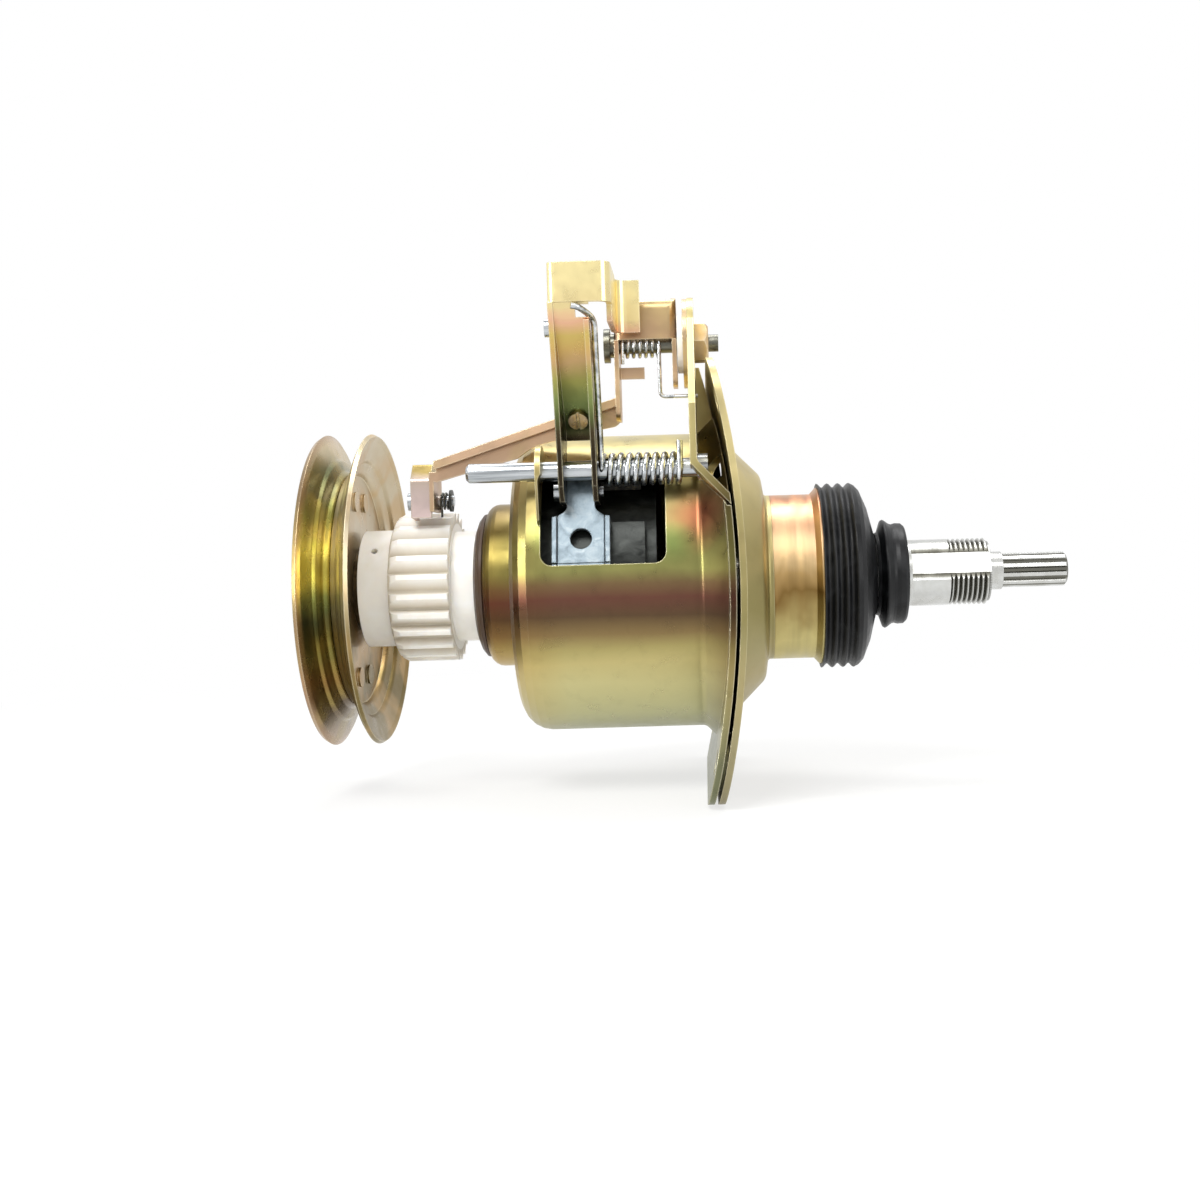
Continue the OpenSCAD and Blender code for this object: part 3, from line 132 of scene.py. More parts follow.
def add_node(tree, kind, inputs=None, **settings):
    """Adds a node. inputs maps a socket's name or number to a value or to another node's output."""
    node = tree.nodes.new(kind)
    for name, value in settings.items():
        setattr(node, name, value)
    for key, value in (inputs or {}).items():
        if isinstance(value, bpy.types.NodeSocket):
            tree.links.new(value, node.inputs[key])
        else:
            node.inputs[key].default_value = value
    return node


def ramp(tree, factor, stops):
    """A colour ramp whose stops are (place, colour)."""
    node = add_node(tree, "ShaderNodeValToRGB", {0: factor})
    elements = node.color_ramp.elements
    while len(elements) < len(stops):
        elements.new(0.5)
    for element, (place, colour) in zip(elements, stops):
        element.position = place
        element.color = rgba(colour)
    return node.outputs["Color"]


def grey(value):
    return (value, value, value)


def start_material(name):
    """A new material with its Principled shader, and the piece's own coordinates in millimetres."""
    material = bpy.data.materials.new(name)
    material.use_nodes = True
    tree = material.node_tree
    shader = tree.nodes["Principled BSDF"]
    place = add_node(tree, "ShaderNodeTexCoord").outputs["Object"]
    in_mm = add_node(tree, "ShaderNodeMapping", {"Vector": place, "Scale": (1000, 1000, 1000)})
    return material, tree, shader, in_mm.outputs["Vector"]


def noise(tree, place, size, detail=3.0, distortion=0.0, stretch=(1, 1, 1), offset=(0, 0, 0)):
    """Noise whose lumps are about size millimetres across, or longer along an axis by its stretch."""
    scale = [1 / (size * s) for s in stretch]
    mapped = add_node(tree, "ShaderNodeMapping", {"Vector": place, "Scale": scale, "Location": offset})
    return add_node(tree, "ShaderNodeTexNoise", {
        "Vector": mapped.outputs["Vector"], "Scale": 1.0, "Detail": detail, "Distortion": distortion,
    }).outputs["Fac"]


def mix(tree, factor, a, b, blend="MIX"):
    return add_node(tree, "ShaderNodeMix", {0: factor, 6: a, 7: b},
                    data_type="RGBA", blend_type=blend).outputs[2]


def math_node(tree, operation, a, b):
    return add_node(tree, "ShaderNodeMath", {0: a, 1: b}, operation=operation).outputs[0]


def remap(tree, value, low, high, out_low=0.0, out_high=1.0):
    """The value's run from low to high, as a run from out_low to out_high that stops at its ends."""
    return add_node(tree, "ShaderNodeMapRange", {
        0: value, 1: low, 2: high, 3: out_low, 4: out_high}).outputs[0]


def rough_and_bump(tree, shader, rough, height, strength, distance=0.1 * MM, edge=None):
    """Gives the shader its roughness range from a factor, and a bump over softened edges."""
    factor, low, high = rough
    tree.links.new(remap(tree, factor, 0.3, 0.7, low, high), shader.inputs["Roughness"])
    rounded = add_node(tree, "ShaderNodeBevel", {"Radius": sizes().edge if edge is None else edge}, samples=4)
    bump = add_node(tree, "ShaderNodeBump", {
        "Height": height, "Strength": strength, "Distance": distance, "Normal": rounded.outputs[0]})
    tree.links.new(bump.outputs[0], shader.inputs["Normal"])


def height_run(tree, place, low, high, patch, sway, warp=0.6, stretch=(1, 1, 1), offset=(0, 0, 0)):
    """0 to 1 up the piece from low to high millimetres, swayed by soft patches."""
    up = add_node(tree, "ShaderNodeSeparateXYZ", {0: place}).outputs[2]
    drift = noise(tree, place, patch, 2.0, warp, stretch, offset)
    drift = math_node(tree, "MULTIPLY", math_node(tree, "SUBTRACT", drift, 0.5), sway)
    return remap(tree, math_node(tree, "ADD", up, drift), low, high)


def axis_radius(tree, place):
    """Distance from the main axis, in millimetres."""
    split = add_node(tree, "ShaderNodeSeparateXYZ", {0: place})
    flat = add_node(tree, "ShaderNodeCombineXYZ", {0: 0.0, 1: split.outputs[1], 2: split.outputs[2]})
    return add_node(tree, "ShaderNodeVectorMath", {0: flat.outputs[0]}, operation="LENGTH").outputs[1]


def edge_mask(tree, radius):
    """1 on edges and 0 on faces, from how far the normal turns within the radius."""
    flat = add_node(tree, "ShaderNodeNewGeometry").outputs["Normal"]
    turned = add_node(tree, "ShaderNodeBevel", {"Radius": radius}, samples=4).outputs[0]
    same = add_node(tree, "ShaderNodeVectorMath", {0: flat, 1: turned}, operation="DOT_PRODUCT").outputs[1]
    return remap(tree, same, 0.985, 0.85)


def hex_stops(stops):
    return [(place, linear(code)) for place, code in stops]


def passivated(name, stops, low_z, high_z, patch=26.0, sway=30.0, stretch=(1, 1, 1), offset=(0, 0, 0),
               low=0.26, high=0.42, tint=None, dirt=0.35, waves=0.1, edge_wear_and_highlight=0.6, ends=None, rim=None, pools=()):
    """Yellow-passivated zinc on pressed steel. The colour runs up the sheet from low_z to high_z and sways in
    soft
    patches: the chromate film's colour, and on some pieces painted highlight and painted shade. Handling
    leaves faint marks, edges are lightened as wear from rubbing and as a painted edge highlight, and the
    sheet keeps soft drawing waves. Lengths are in millimetres."""
    material, tree, shader, place = start_material(name)
    film = height_run(tree, place, low_z, high_z, patch, sway, 0.5, stretch, offset)
    colour = ramp(tree, film, hex_stops(stops))
    if tint:
        # A second film colour comes and goes along the piece
        spread = noise(tree, place, patch * 0.8, 2.0, 0.5, stretch, (offset[0] + 11, offset[1] + 5, 3))
        amount = ramp(tree, spread, [(0.46, grey(0.0)), (0.66, grey(0.6))])
        colour = mix(tree, amount, colour, rgba(linear(tint)))
    if ends:
        # The colour differs from the left end of the piece to its right end: a film tint, and on the pot a
        # painted dark reflection by the flange
        low_x, high_x, left, right = ends
        across = add_node(tree, "ShaderNodeSeparateXYZ", {0: place}).outputs[0]
        shift = ramp(tree, remap(tree, across, low_x, high_x), [
            (0.0, linear(left)), (0.35, grey(1.0)), (0.87, grey(1.0)), (1.0, linear(right))])
        colour = mix(tree, 0.7, colour, shift, "MULTIPLY")
    for centre, radius, code in pools:
        # The film pools in the folds of a pressing; each pool is a soft patch of another colour
        away = add_node(tree, "ShaderNodeVectorMath", {0: place, 1: centre}, operation="DISTANCE").outputs[1]
        ragged = math_node(tree, "ADD", away, math_node(tree, "MULTIPLY", film, radius * 0.4))
        amount = remap(tree, ragged, radius * 1.3, radius * 0.5, 0.0, 0.75)
        colour = mix(tree, amount, colour, rgba(linear(code)))
    # Towards the rim the colour turns to rim's colour; on the outer disc it is a painted highlight
    if rim:
        low_r, high_r, code = rim
        out = remap(tree, axis_radius(tree, place), low_r, high_r, 0.0, 0.8)
        colour = mix(tree, out, colour, rgba(linear(code)))
    # Handling marks and fine mottle, a few millimetres across
    mottle = noise(tree, place, 6.0, 5.0, 0.4, (1, 1, 1), (7, 3, 1))
    shade = ramp(tree, mottle, [(0.3, grey(0.7)), (0.48, grey(0.95)), (0.7, grey(1.0))])
    colour = mix(tree, dirt, colour, shade, "MULTIPLY")
    # Edges are lightened: wear from rubbing and a painted edge highlight
    wear_and_highlight_mask = math_node(tree, "MULTIPLY", edge_mask(tree, 0.7 * MM), edge_wear_and_highlight)
    colour = mix(tree, wear_and_highlight_mask, colour, rgba(finishes().edge))
    tree.links.new(colour, shader.inputs["Base Color"])
    shader.inputs["Metallic"].default_value = 0.9
    # Real grain is 0.05 mm, drawn here at 0.8 mm so that it shows
    grain = noise(tree, place, 0.8, 3.0)
    drawn = noise(tree, place, 12.0, 2.0, 0.3)
    height = math_node(tree, "ADD", math_node(tree, "MULTIPLY", grain, 0.1), drawn)
    rough_and_bump(tree, shader, (mottle, low, high), height, waves, 0.35 * MM)
    return material


def pot_zinc():
    """Pot: grey-green at the bottom, then pale gold, a dark brown band whose darkness is a painted
    reflection, and olive under the window, darkened as painted reflection.
    """
    return passivated(
        "Yellow zinc, deep-drawn pot",
        [(0.02, "#868a6c"), (0.12, "#b8b688"), (0.22, "#c8c08a"), (0.28, "#c3b67c"), (0.32, "#ab9e66"),
         (0.36, "#85704a"), (0.41, "#5c4834"), (0.46, "#684438"), (0.5, "#786244"), (0.54, "#8c8a52"),
         (0.61, "#817e4a"), (0.7, "#766e46"), (0.82, "#bcae76"), (1.0, "#cdbf86")],
        -62, 62, patch=34, sway=7, stretch=(2.4, 1, 1), offset=(3.1, 8.2, 4.4), low=0.26, high=0.4, dirt=0.3,
        # The right end, next to the flange, is darkened as a painted dark reflection
        ends=(-84, 0, "#ecc898", "#9c8c78"),
        pools=[((-7, -48, 22), 14, "#8a4a36"), ((-17, -50, 13), 8, "#74864a"),
               ((-58, -46, 16), 10, "#8c9a52")])


def plate_zinc():
    """Flange plate and dome: khaki gold, pale above and a little greyer below."""
    return passivated(
        "Yellow zinc, pressed flange plate",
        [(0.0, "#8c8468"), (0.26, "#a89e76"), (0.42, "#928859"), (0.6, "#9e9262"), (0.76, "#d2c28c"),
         (1.0, "#d4c694")],
        -74, 74, patch=34, sway=20, offset=(1.0, 5.2, 2.2), low=0.34, high=0.46, tint="#ac9c6c", dirt=0.22,
        waves=0.06, edge_wear_and_highlight=0.25)


def outer_disc_zinc():
    """Outer disc: a bright yellow painted highlight above the axis between olive bands of painted shade, rust
    brown below, and a pink-tan painted highlight along the rim.
    """
    return passivated(
        "Yellow zinc, pulley groove",
        [(0.0, "#b09880"), (0.07, "#7c6a4c"), (0.16, "#5e4a30"), (0.23, "#92663e"), (0.3, "#8c8446"),
         (0.36, "#66602f"), (0.42, "#4e5234"), (0.48, "#8c9250"), (0.53, "#e0d462"), (0.6, "#d0c658"),
         (0.66, "#96903a"), (0.73, "#7e8440"), (0.8, "#565230"), (0.88, "#6e7048"), (0.94, "#c8b48c"),
         (1.0, "#d2bc9c")],
        -57, 57, patch=20, sway=9, low=0.22, high=0.3, tint="#a8944c", dirt=0.1, waves=0.02, edge_wear_and_highlight=0.3,
        rim=(54, 57, "#a88868"))


def inner_disc_zinc():
    """Face of the inner disc: cream above, turning to brown under the hub, a painted shade."""
    return passivated(
        "Pale zinc, pulley face",
        [(0.0, "#8c7c54"), (0.16, "#78683f"), (0.36, "#8a774e"), (0.48, "#b0a07c"), (0.7, "#c8baa0"),
         (1.0, "#c6b694")],
        -57, 57, patch=22, sway=14, offset=(5, 2, 7), low=0.26, high=0.4, tint="#c4a06c", dirt=0.2,
        waves=0.05)


def lever_zinc():
    """Lever: dark at the pin, a painted shade where the web curves back, then green, orange, pink round the
    notch and pale gold on top.
    """
    return passivated(
        "Yellow zinc, brake lever",
        [(0.0, "#30281c"), (0.12, "#443a26"), (0.21, "#586038"), (0.32, "#7c8850"), (0.43, "#a09c56"),
         (0.53, "#c4a272"), (0.6, "#ccaa68"), (0.68, "#cdb468"), (0.75, "#e0b090"), (0.82, "#e6d29a"),
         (1.0, "#ecdca2")],
        44, 100, patch=14, sway=5, low=0.24, high=0.38, dirt=0.2)


def bracket_zinc():
    """Pawl lever: brown-pink web, peach on its long arm."""
    return passivated(
        "Brown zinc, pawl lever",
        [(0.0, "#bfa084"), (0.3, "#e0bb98"), (0.5, "#e6c6a2"), (0.66, "#b6977a"), (0.85, "#a88b6c"),
         (1.0, "#c3ab78")],
        40, 100, patch=20, sway=12, offset=(2.0, 2.0, 9.0), low=0.28, high=0.42, tint="#c9b080", dirt=0.3)


def pawl_zinc():
    """Pawl: gold top, lavender-grey face that pales towards the tip."""
    return passivated(
        "Violet zinc, pawl",
        [(0.0, "#dfc8c4"), (0.5, "#c8b6ae"), (0.72, "#bfae9e"), (0.84, "#b09a5e"), (1.0, "#c2aa66")],
        24, 45, patch=8, sway=3, low=0.28, high=0.4, dirt=0.25)


def fastener_zinc():
    """Nuts, washers and screws: each takes one tone of the film, by where it sits."""
    return passivated(
        "Yellow zinc, fasteners",
        [(0.0, "#a09f70"), (0.4, "#c4bb88"), (0.72, "#d6b478"), (1.0, "#d2b892")],
        -80, 100, patch=7, sway=260, low=0.24, high=0.42)


def neck_zinc():
    """Passivated zinc over a turned surface: fine rings run round it, so highlights smear along the axis."""
    material, tree, shader, place = start_material("Yellow zinc, turned neck")
    bands = noise(tree, place, 3.2, 4.0, 0.0, (1, 14, 14))
    drift = height_run(tree, place, -40, 40, 16, 16, 0.4, (0.6, 1, 1), (4, 1, 6))
    # The colour up the neck is film colour with painted reflection: its dark band and the bright bands round
    # it stand for reflections
    colour = ramp(tree, drift, hex_stops([
        (0.0, "#aaa06c"), (0.2, "#d2c486"), (0.34, "#a4905c"), (0.42, "#84683a"), (0.5, "#b89864"),
        (0.58, "#e0c08e"), (0.72, "#dcb48c"), (0.84, "#c8906e"), (1.0, "#cbb47e")]))
    colour = mix(tree, 0.35, colour, ramp(tree, bands, [(0.35, grey(0.6)), (0.6, grey(1.0))]), "MULTIPLY")
    tree.links.new(colour, shader.inputs["Base Color"])
    shader.inputs["Metallic"].default_value = 0.95
    rings = noise(tree, place, 0.9, 2.0, 0.0, (1, 60, 60))
    rough_and_bump(tree, shader, (bands, 0.28, 0.44), rings, 0.3, 0.12 * MM)
    return material


def turned_steel(name="Turned steel, bearing and shaft", root=None, crest=None, root_shade_and_oil="#55534b"):
    """Turned and ground steel: tool rings about 0.9 mm apart, slight stains, near-mirror highlights.
    Thread roots and spline gaps between the radii root and crest, in millimetres, are darker: painted shade
    together with an oily film."""
    material, tree, shader, place = start_material(name)
    stain = noise(tree, place, 8.0, 4.0, 0.5)
    tint = mix(tree, ramp(tree, stain, [(0.4, grey(0.0)), (0.72, grey(0.5))]), rgba(finishes().steel),
               rgba(linear("#a7a59c")))
    if root:
        # Painted shade with an oily film: darker towards the root radius
        film = ramp(tree, remap(tree, axis_radius(tree, place), root, crest), [
            (0.0, grey(1.0)), (0.02, grey(1.0)), (0.05, linear(root_shade_and_oil)), (0.5, linear("#96948c")),
            (0.9, grey(1.0))])
        tint = mix(tree, 1.0, tint, film, "MULTIPLY")
    tree.links.new(tint, shader.inputs["Base Color"])
    shader.inputs["Metallic"].default_value = 1.0
    rings = noise(tree, place, 0.9, 2.0, 0.0, (1, 40, 40))
    rough_and_bump(tree, shader, (stain, 0.14, 0.34), rings, 0.35, 0.1 * MM, edge=0.25 * MM)
    return material


def tube_steel():
    return turned_steel("Turned steel, threaded spin tube", 11.06, 12.1)


def spline_steel():
    return turned_steel("Turned steel, splined shaft", 5.2, 6.2, "#8c8a82")


def bright_zinc():
    """Clear-passivated zinc on a drawn rod: cool, bright, with draw lines along its length."""
    material, tree, shader, place = start_material("Bright zinc, drawn rod")
    lines = noise(tree, place, 1.1, 3.0, 0.0, (30, 1, 1))
    colour = ramp(tree, lines, [(0.35, linear("#9a9fa3")), (0.6, finishes().bright_zinc)])
    tree.links.new(colour, shader.inputs["Base Color"])
    shader.inputs["Metallic"].default_value = 1.0
    rough_and_bump(tree, shader, (lines, 0.16, 0.36), lines, 0.2, 0.1 * MM)
    return material


def zinc_casting():
    """Die-cast zinc: blue-grey, softly mottled, with a matt skin that carries handling marks."""
    material, tree, shader, place = start_material("Cast zinc, brake lug")
    flow = noise(tree, place, 4.5, 4.0, 1.2)
    base = finishes().casting
    colour = ramp(tree, flow, [(0.3, linear("#5f6a71")), (0.55, base), (0.75, linear("#a2abaf"))])
    tree.links.new(colour, shader.inputs["Base Color"])
    shader.inputs["Metallic"].default_value = 0.85
    skin = noise(tree, place, 0.9, 3.0)
    rough_and_bump(tree, shader, (flow, 0.3, 0.5), skin, 0.25, 0.15 * MM, edge=0.5 * MM)
    return material


def dark_steel(name="Oiled steel, dark", colour=None, low=0.28, high=0.5):
    """Bare steel under oil: nearly black, with streaks of lighter metal."""
    material, tree, shader, place = start_material(name)
    streak = noise(tree, place, 3.0, 4.0, 0.6, (2, 1, 1))
    base = colour or finishes().dark_steel
    shadow, light = [c * 0.5 for c in base], [min(1, c * 2) for c in base]
    tint = ramp(tree, streak, [(0.3, shadow), (0.55, base), (0.8, light)])
    tree.links.new(tint, shader.inputs["Base Color"])
    shader.inputs["Metallic"].default_value = 0.9
    skin = noise(tree, place, 1.0, 3.0)
    rough_and_bump(tree, shader, (streak, low, high), skin, 0.25, 0.15 * MM)
    return material


def spring_wire():
    """Drawn and zinc-plated spring wire: grey, with bright bands where coils rubbed."""
    material, tree, shader, place = start_material("Spring wire, plated")
    bands = noise(tree, place, 2.4, 3.0, 0.4)
    colour = ramp(tree, bands, hex_stops([(0.32, "#8d9193"), (0.5, "#c4c8cb"), (0.7, "#e2e4e5")]))
    tree.links.new(colour, shader.inputs["Base Color"])
    shader.inputs["Metallic"].default_value = 1.0
    fine = noise(tree, place, 0.7, 2.0)
    rough_and_bump(tree, shader, (bands, 0.16, 0.34), fine, 0.15, 0.08 * MM, edge=0)
    return material


def nylon():
    """Injection-moulded nylon 66: milky white, a little translucent, with a satin skin and flow marks."""
    material, tree, shader, place = start_material("Nylon, moulded")
    flow = noise(tree, place, 12.0, 3.0, 1.0, (1, 1, 1), (2, 9, 5))
    colour = ramp(tree, flow, [(0.3, linear("#f1ede6")), (0.55, finishes().nylon), (0.8, linear("#faf9f6"))])
    # Painted shade between the teeth: the colour greys towards the tooth roots
    gaps = ramp(tree, remap(tree, axis_radius(tree, place), 23, 27.5), [
        (0.0, grey(1.0)), (0.12, linear("#d3ccbf")), (0.3, linear("#ded8cd")), (0.8, grey(1.0))])
    colour = mix(tree, 1.0, colour, gaps, "MULTIPLY")
    tree.links.new(colour, shader.inputs["Base Color"])
    shader.inputs["Subsurface Weight"].default_value = 0.35
    shader.inputs["Subsurface Radius"].default_value = (1.0, 0.9, 0.7)
    shader.inputs["Subsurface Scale"].default_value = 1.6 * MM
    shader.inputs["IOR"].default_value = 1.53
    skin = noise(tree, place, 1.4, 4.0)
    rough_and_bump(tree, shader, (flow, 0.34, 0.48), skin, 0.12, 0.2 * MM, edge=0.45 * MM)
    return material


def rubber(name="Nitrile rubber, moulded", colour=None, dust=0.12):
    """Moulded nitrile rubber: near black, dull, greyer on ridges where dust and talc settle."""
    material, tree, shader, place = start_material(name)
    film = noise(tree, place, 7.0, 5.0, 0.8)
    base = colour or finishes().rubber
    dusty = mix(tree, dust, rgba(base), rgba(linear("#6d7073")))
    factor = ramp(tree, film, [(0.45, grey(0.0)), (0.75, grey(0.6))])
    tree.links.new(mix(tree, factor, rgba(base), dusty), shader.inputs["Base Color"])
    shader.inputs["IOR"].default_value = 1.52
    shader.inputs["Specular IOR Level"].default_value = 0.26
    skin = noise(tree, place, 0.9, 4.0)
    rough_and_bump(tree, shader, (film, 0.3, 0.5), skin, 0.2, 0.15 * MM, edge=0.4 * MM)
    return material


def lining():
    """Woven and bonded brake lining: charcoal with paler fibres a millimetre or two long."""
    material, tree, shader, place = start_material("Brake lining, bonded fibre")
    fibres = noise(tree, place, 0.9, 4.0, 1.5, (3, 1, 1))
    tint = ramp(tree, fibres, hex_stops([(0.35, "#1c1b19"), (0.6, "#3a3833"), (0.75, "#8a7a58")]))
    tree.links.new(tint, shader.inputs["Base Color"])
    rough_and_bump(tree, shader, (fibres, 0.75, 0.95), fibres, 0.6, 0.2 * MM)
    return material


def bronze():
    """Sintered bronze: porous and oily, with a brown-gold tone."""
    material, tree, shader, place = start_material("Sintered bronze, oiled")
    pores = noise(tree, place, 0.8, 4.0)
    tint = ramp(tree, pores, [(0.35, linear("#5c4420")), (0.5, finishes().bronze)])
    tree.links.new(tint, shader.inputs["Base Color"])
    shader.inputs["Metallic"].default_value = 0.95
    rough_and_bump(tree, shader, (pores, 0.3, 0.5), pores, 0.3, 0.1 * MM)
    return material


FINISH_OF = {
    pot_zinc: ["lower_housing", "band_anchor"],
    plate_zinc: ["upper_bracket"],
    outer_disc_zinc: ["pulley_outer_disc"],
    inner_disc_zinc: ["pulley_inner_disc"],
    lever_zinc: ["brake_lever"],
    bracket_zinc: ["pawl_lever"],
    pawl_zinc: ["pawl"],
    fastener_zinc: ["lock_nut", "fender_washer", "lever_screw", "pulley_nut", "pulley_washer"],
    neck_zinc: ["neck_tube"],
    turned_steel: ["input_shaft", "sun_gear", "planet_pins", "lower_bearing_outer", "lower_bearing_inner",
                   "lower_bearing_balls", "upper_bearing_outer", "upper_bearing_inner",
                   "upper_bearing_balls"],
    tube_steel: ["spin_tube"],
    spline_steel: ["pulsator_shaft"],
    bright_zinc: ["lever_rod", "lug_pin", "lever_rivet", "pawl_pin"],
    zinc_casting: ["brake_lug"],
    dark_steel: ["brake_band", "brake_drum", "drum_cover", "ring_gear", "planet_carrier", "retaining_clip"],
    nylon: ["ratchet_sleeve", "pivot_washer", "planet_gear_1", "planet_gear_2", "planet_gear_3"],
    rubber: ["water_seal", "lip_ring", "shaft_seal"],
    lining: ["brake_lining"],
    bronze: ["shaft_bushes"],
}


def set_material(piece, material):
    piece.data.materials.clear()
    piece.data.materials.append(material)


class CLUTCH_OT_finishes(bpy.types.Operator):
    """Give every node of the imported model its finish"""
    bl_idname = "clutch.finishes"
    bl_label = "Finishes"

    def execute(self, context):
        for make, names in FINISH_OF.items():
            material = make()
            for name in names:
                set_material(NODES[name], material)
        brown_rubber = rubber("Nitrile rubber, brown dust seal", finishes().dust_rubber, 0.15)
        set_material(NODES["dust_seal"], brown_rubber)
        # The hub's dark brown is painted shade for the shadowed gap behind the nylon flange
        set_material(NODES["clutch_sleeve"], dark_steel("Oiled steel, brown hub in painted shade", linear("#4a3f30")))
        screw_steel = dark_steel("Oiled steel, pivot screw", linear("#77766c"), 0.24, 0.4)
        set_material(NODES["pivot_screw"], screw_steel)
        return {"FINISHED"}


# Pieces

def deselect():
    bpy.ops.object.select_all(action="DESELECT")


def fit_piece(piece, body, material, node):
    """Lets a finished piece ride on its body, with its finish, and stand for the node it replaces."""
    set_material(piece, material)
    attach(piece, body)
    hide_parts(node)


def wire_piece(name, points, diameter, body, node, material, sides=4):
    """Round wire along a list of points, which stands for a CAD spring."""
    deselect()
    curve = bpy.data.curves.new(name, "CURVE")
    curve.dimensions = "3D"
    curve.bevel_depth = diameter / 2
    curve.bevel_resolution = sides
    curve.use_fill_caps = True
    line = curve.splines.new("POLY")
    line.points.add(len(points) - 1)
    for point, place in zip(line.points, points):
        point.co = (*place, 1)
    piece = bpy.data.objects.new(name, curve)
    bpy.context.scene.collection.objects.link(piece)
    piece.select_set(True)
    bpy.context.view_layer.objects.active = piece
    bpy.ops.object.convert(target="MESH")
    piece = bpy.context.view_layer.objects.active
    piece.name = name
    bpy.ops.object.shade_smooth()
    fit_piece(piece, body, material, node)


def coil(x0, pitch, turns, radius, centre, start, rings=32):
    """Points of a coil along X. At angle 0 a point is above the centre, and at 90 degrees beyond it."""
    steps = round(turns * rings)
    points = []
    for i in range(steps + 1):
        a = radians(start) + 2 * pi * i / rings
        y, z = centre[0] + radius * sin(a), centre[1] + radius * cos(a)
        points.append(Vector((x0 + pitch * i / rings, y, z)))
    return points


def smooth_path(corners, radius, steps=6):
    """The path with each inner corner replaced by a curve that starts radius away from it."""
    path = [corners[0]]
    for before, corner, after in zip(corners, corners[1:], corners[2:]):
        reach = min(radius, (before - corner).length * 0.45, (after - corner).length * 0.45)
        a = corner + (before - corner).normalized() * reach
        b = corner + (after - corner).normalized() * reach
        for i in range(steps + 1):
            t = i / steps
            path.append(a * (1 - t) ** 2 + corner * 2 * t * (1 - t) + b * t ** 2)
    return path + [corners[-1]]


def centre_of(node):
    low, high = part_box(node)
    return (low + high) / 2


class CLUTCH_OT_return_spring(bpy.types.Operator):
    """Wind the brake return spring on the lever rod, with its leg up to the notch of the lever"""
    bl_idname = "clutch.return_spring"
    bl_label = "Brake return spring"

    def execute(self, context):
        rod = centre_of("lever_rod")
        wire = sizes().big_wire
        radius = 4.8 * MM
        pitch, turns = 2.95 * MM, 9
        low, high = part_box("brake_return_spring")
        x0 = high.x - wire / 2 - pitch * turns
        near = rod.y - radius
        top = high.z - wire / 2
        front = low.y + wire / 2
        leg = [Vector((x0 - 6.8 * MM, front, top)),
               Vector((x0 - 4.6 * MM, front + 0.6 * MM, top - 0.4 * MM)),
               Vector((x0 - 2.4 * MM, front + 3.4 * MM, top - 1.6 * MM)),
               Vector((x0, front + 8.4 * MM, top - 3.4 * MM)),
               Vector((x0, near, rod.z + 6 * MM)),
               Vector((x0, near, rod.z + 1 * MM))]
        turns_path = coil(x0, pitch, turns, radius, (rod.y, rod.z), 270)
        end_x = high.x - wire / 2
        tail = [Vector((end_x, near, rod.z + 3 * MM)), Vector((end_x, near, rod.z + 9 * MM))]
        path = smooth_path(leg, 4 * MM) + turns_path + tail
        wire_piece("return_spring_wire", path, wire, "brake_lever", "brake_return_spring",
                   spring_wire())
        return {"FINISHED"}


class CLUTCH_OT_lever_spring(bpy.types.Operator):
    """Wind the pawl lever spring on the pivot screw, with its hook through the ear"""
    bl_idname = "clutch.lever_spring"
    bl_label = "Pawl lever spring"

    def execute(self, context):
        pivot = centre_of("pivot_screw")
        wire = sizes().small_wire
        radius = 4.05 * MM
        pitch, turns = 2.15 * MM, 6
        low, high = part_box("pawl_lever_spring")
        x0 = low.x + wire / 2
        x1 = x0 + pitch * turns
        near = pivot.y - radius
        hook_z = low.z + wire / 2
        start = [Vector((x0, near, pivot.z - 7 * MM)), Vector((x0, near, pivot.z - 1.5 * MM))]
        leg = [Vector((x1, near, pivot.z - 1.5 * MM)), Vector((x1, near, hook_z)),
               Vector((high.x - wire / 2, near, hook_z))]
        path = start + coil(x0, pitch, turns, radius, (pivot.y, pivot.z), 270) + smooth_path(leg, 2 * MM)
        wire_piece("lever_spring_wire", path, wire, "housing", "pawl_lever_spring",
                   bpy.data.materials["Spring wire, plated"])
        return {"FINISHED"}


class CLUTCH_OT_pawl_spring(bpy.types.Operator):
    """Wind the dark pawl spring on the pawl pin"""
    bl_idname = "clutch.pawl_spring"
    bl_label = "Pawl spring"

    def execute(self, context):
        pin = centre_of("pawl_pin")
        wire = sizes().pawl_wire
        low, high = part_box("pawl_spring")
        radius = 2.8 * MM
        turns = 2.5
        pitch = (high.x - low.x - wire) / turns
        x0 = low.x + wire / 2
        far = pin.y + radius
        leg = [Vector((x0, far, low.z)), Vector((x0, far, pin.z - 1 * MM))]
        path = leg + coil(x0, pitch, turns, radius, (pin.y, pin.z), 90)
        wire_piece("pawl_spring_wire", path, wire, "pawl_lever", "pawl_spring",
                   dark_steel("Spring wire, black", linear("#5a5b55"), 0.22, 0.4))
        return {"FINISHED"}


def place_is_mesh(piece):
    """Puts the piece's place, turn and scale in its mesh, and its origin at the frame's."""
    deselect()
    piece.select_set(True)
    bpy.context.view_layer.objects.active = piece
    bpy.ops.object.transform_apply(location=True, rotation=True, scale=True)
    return piece


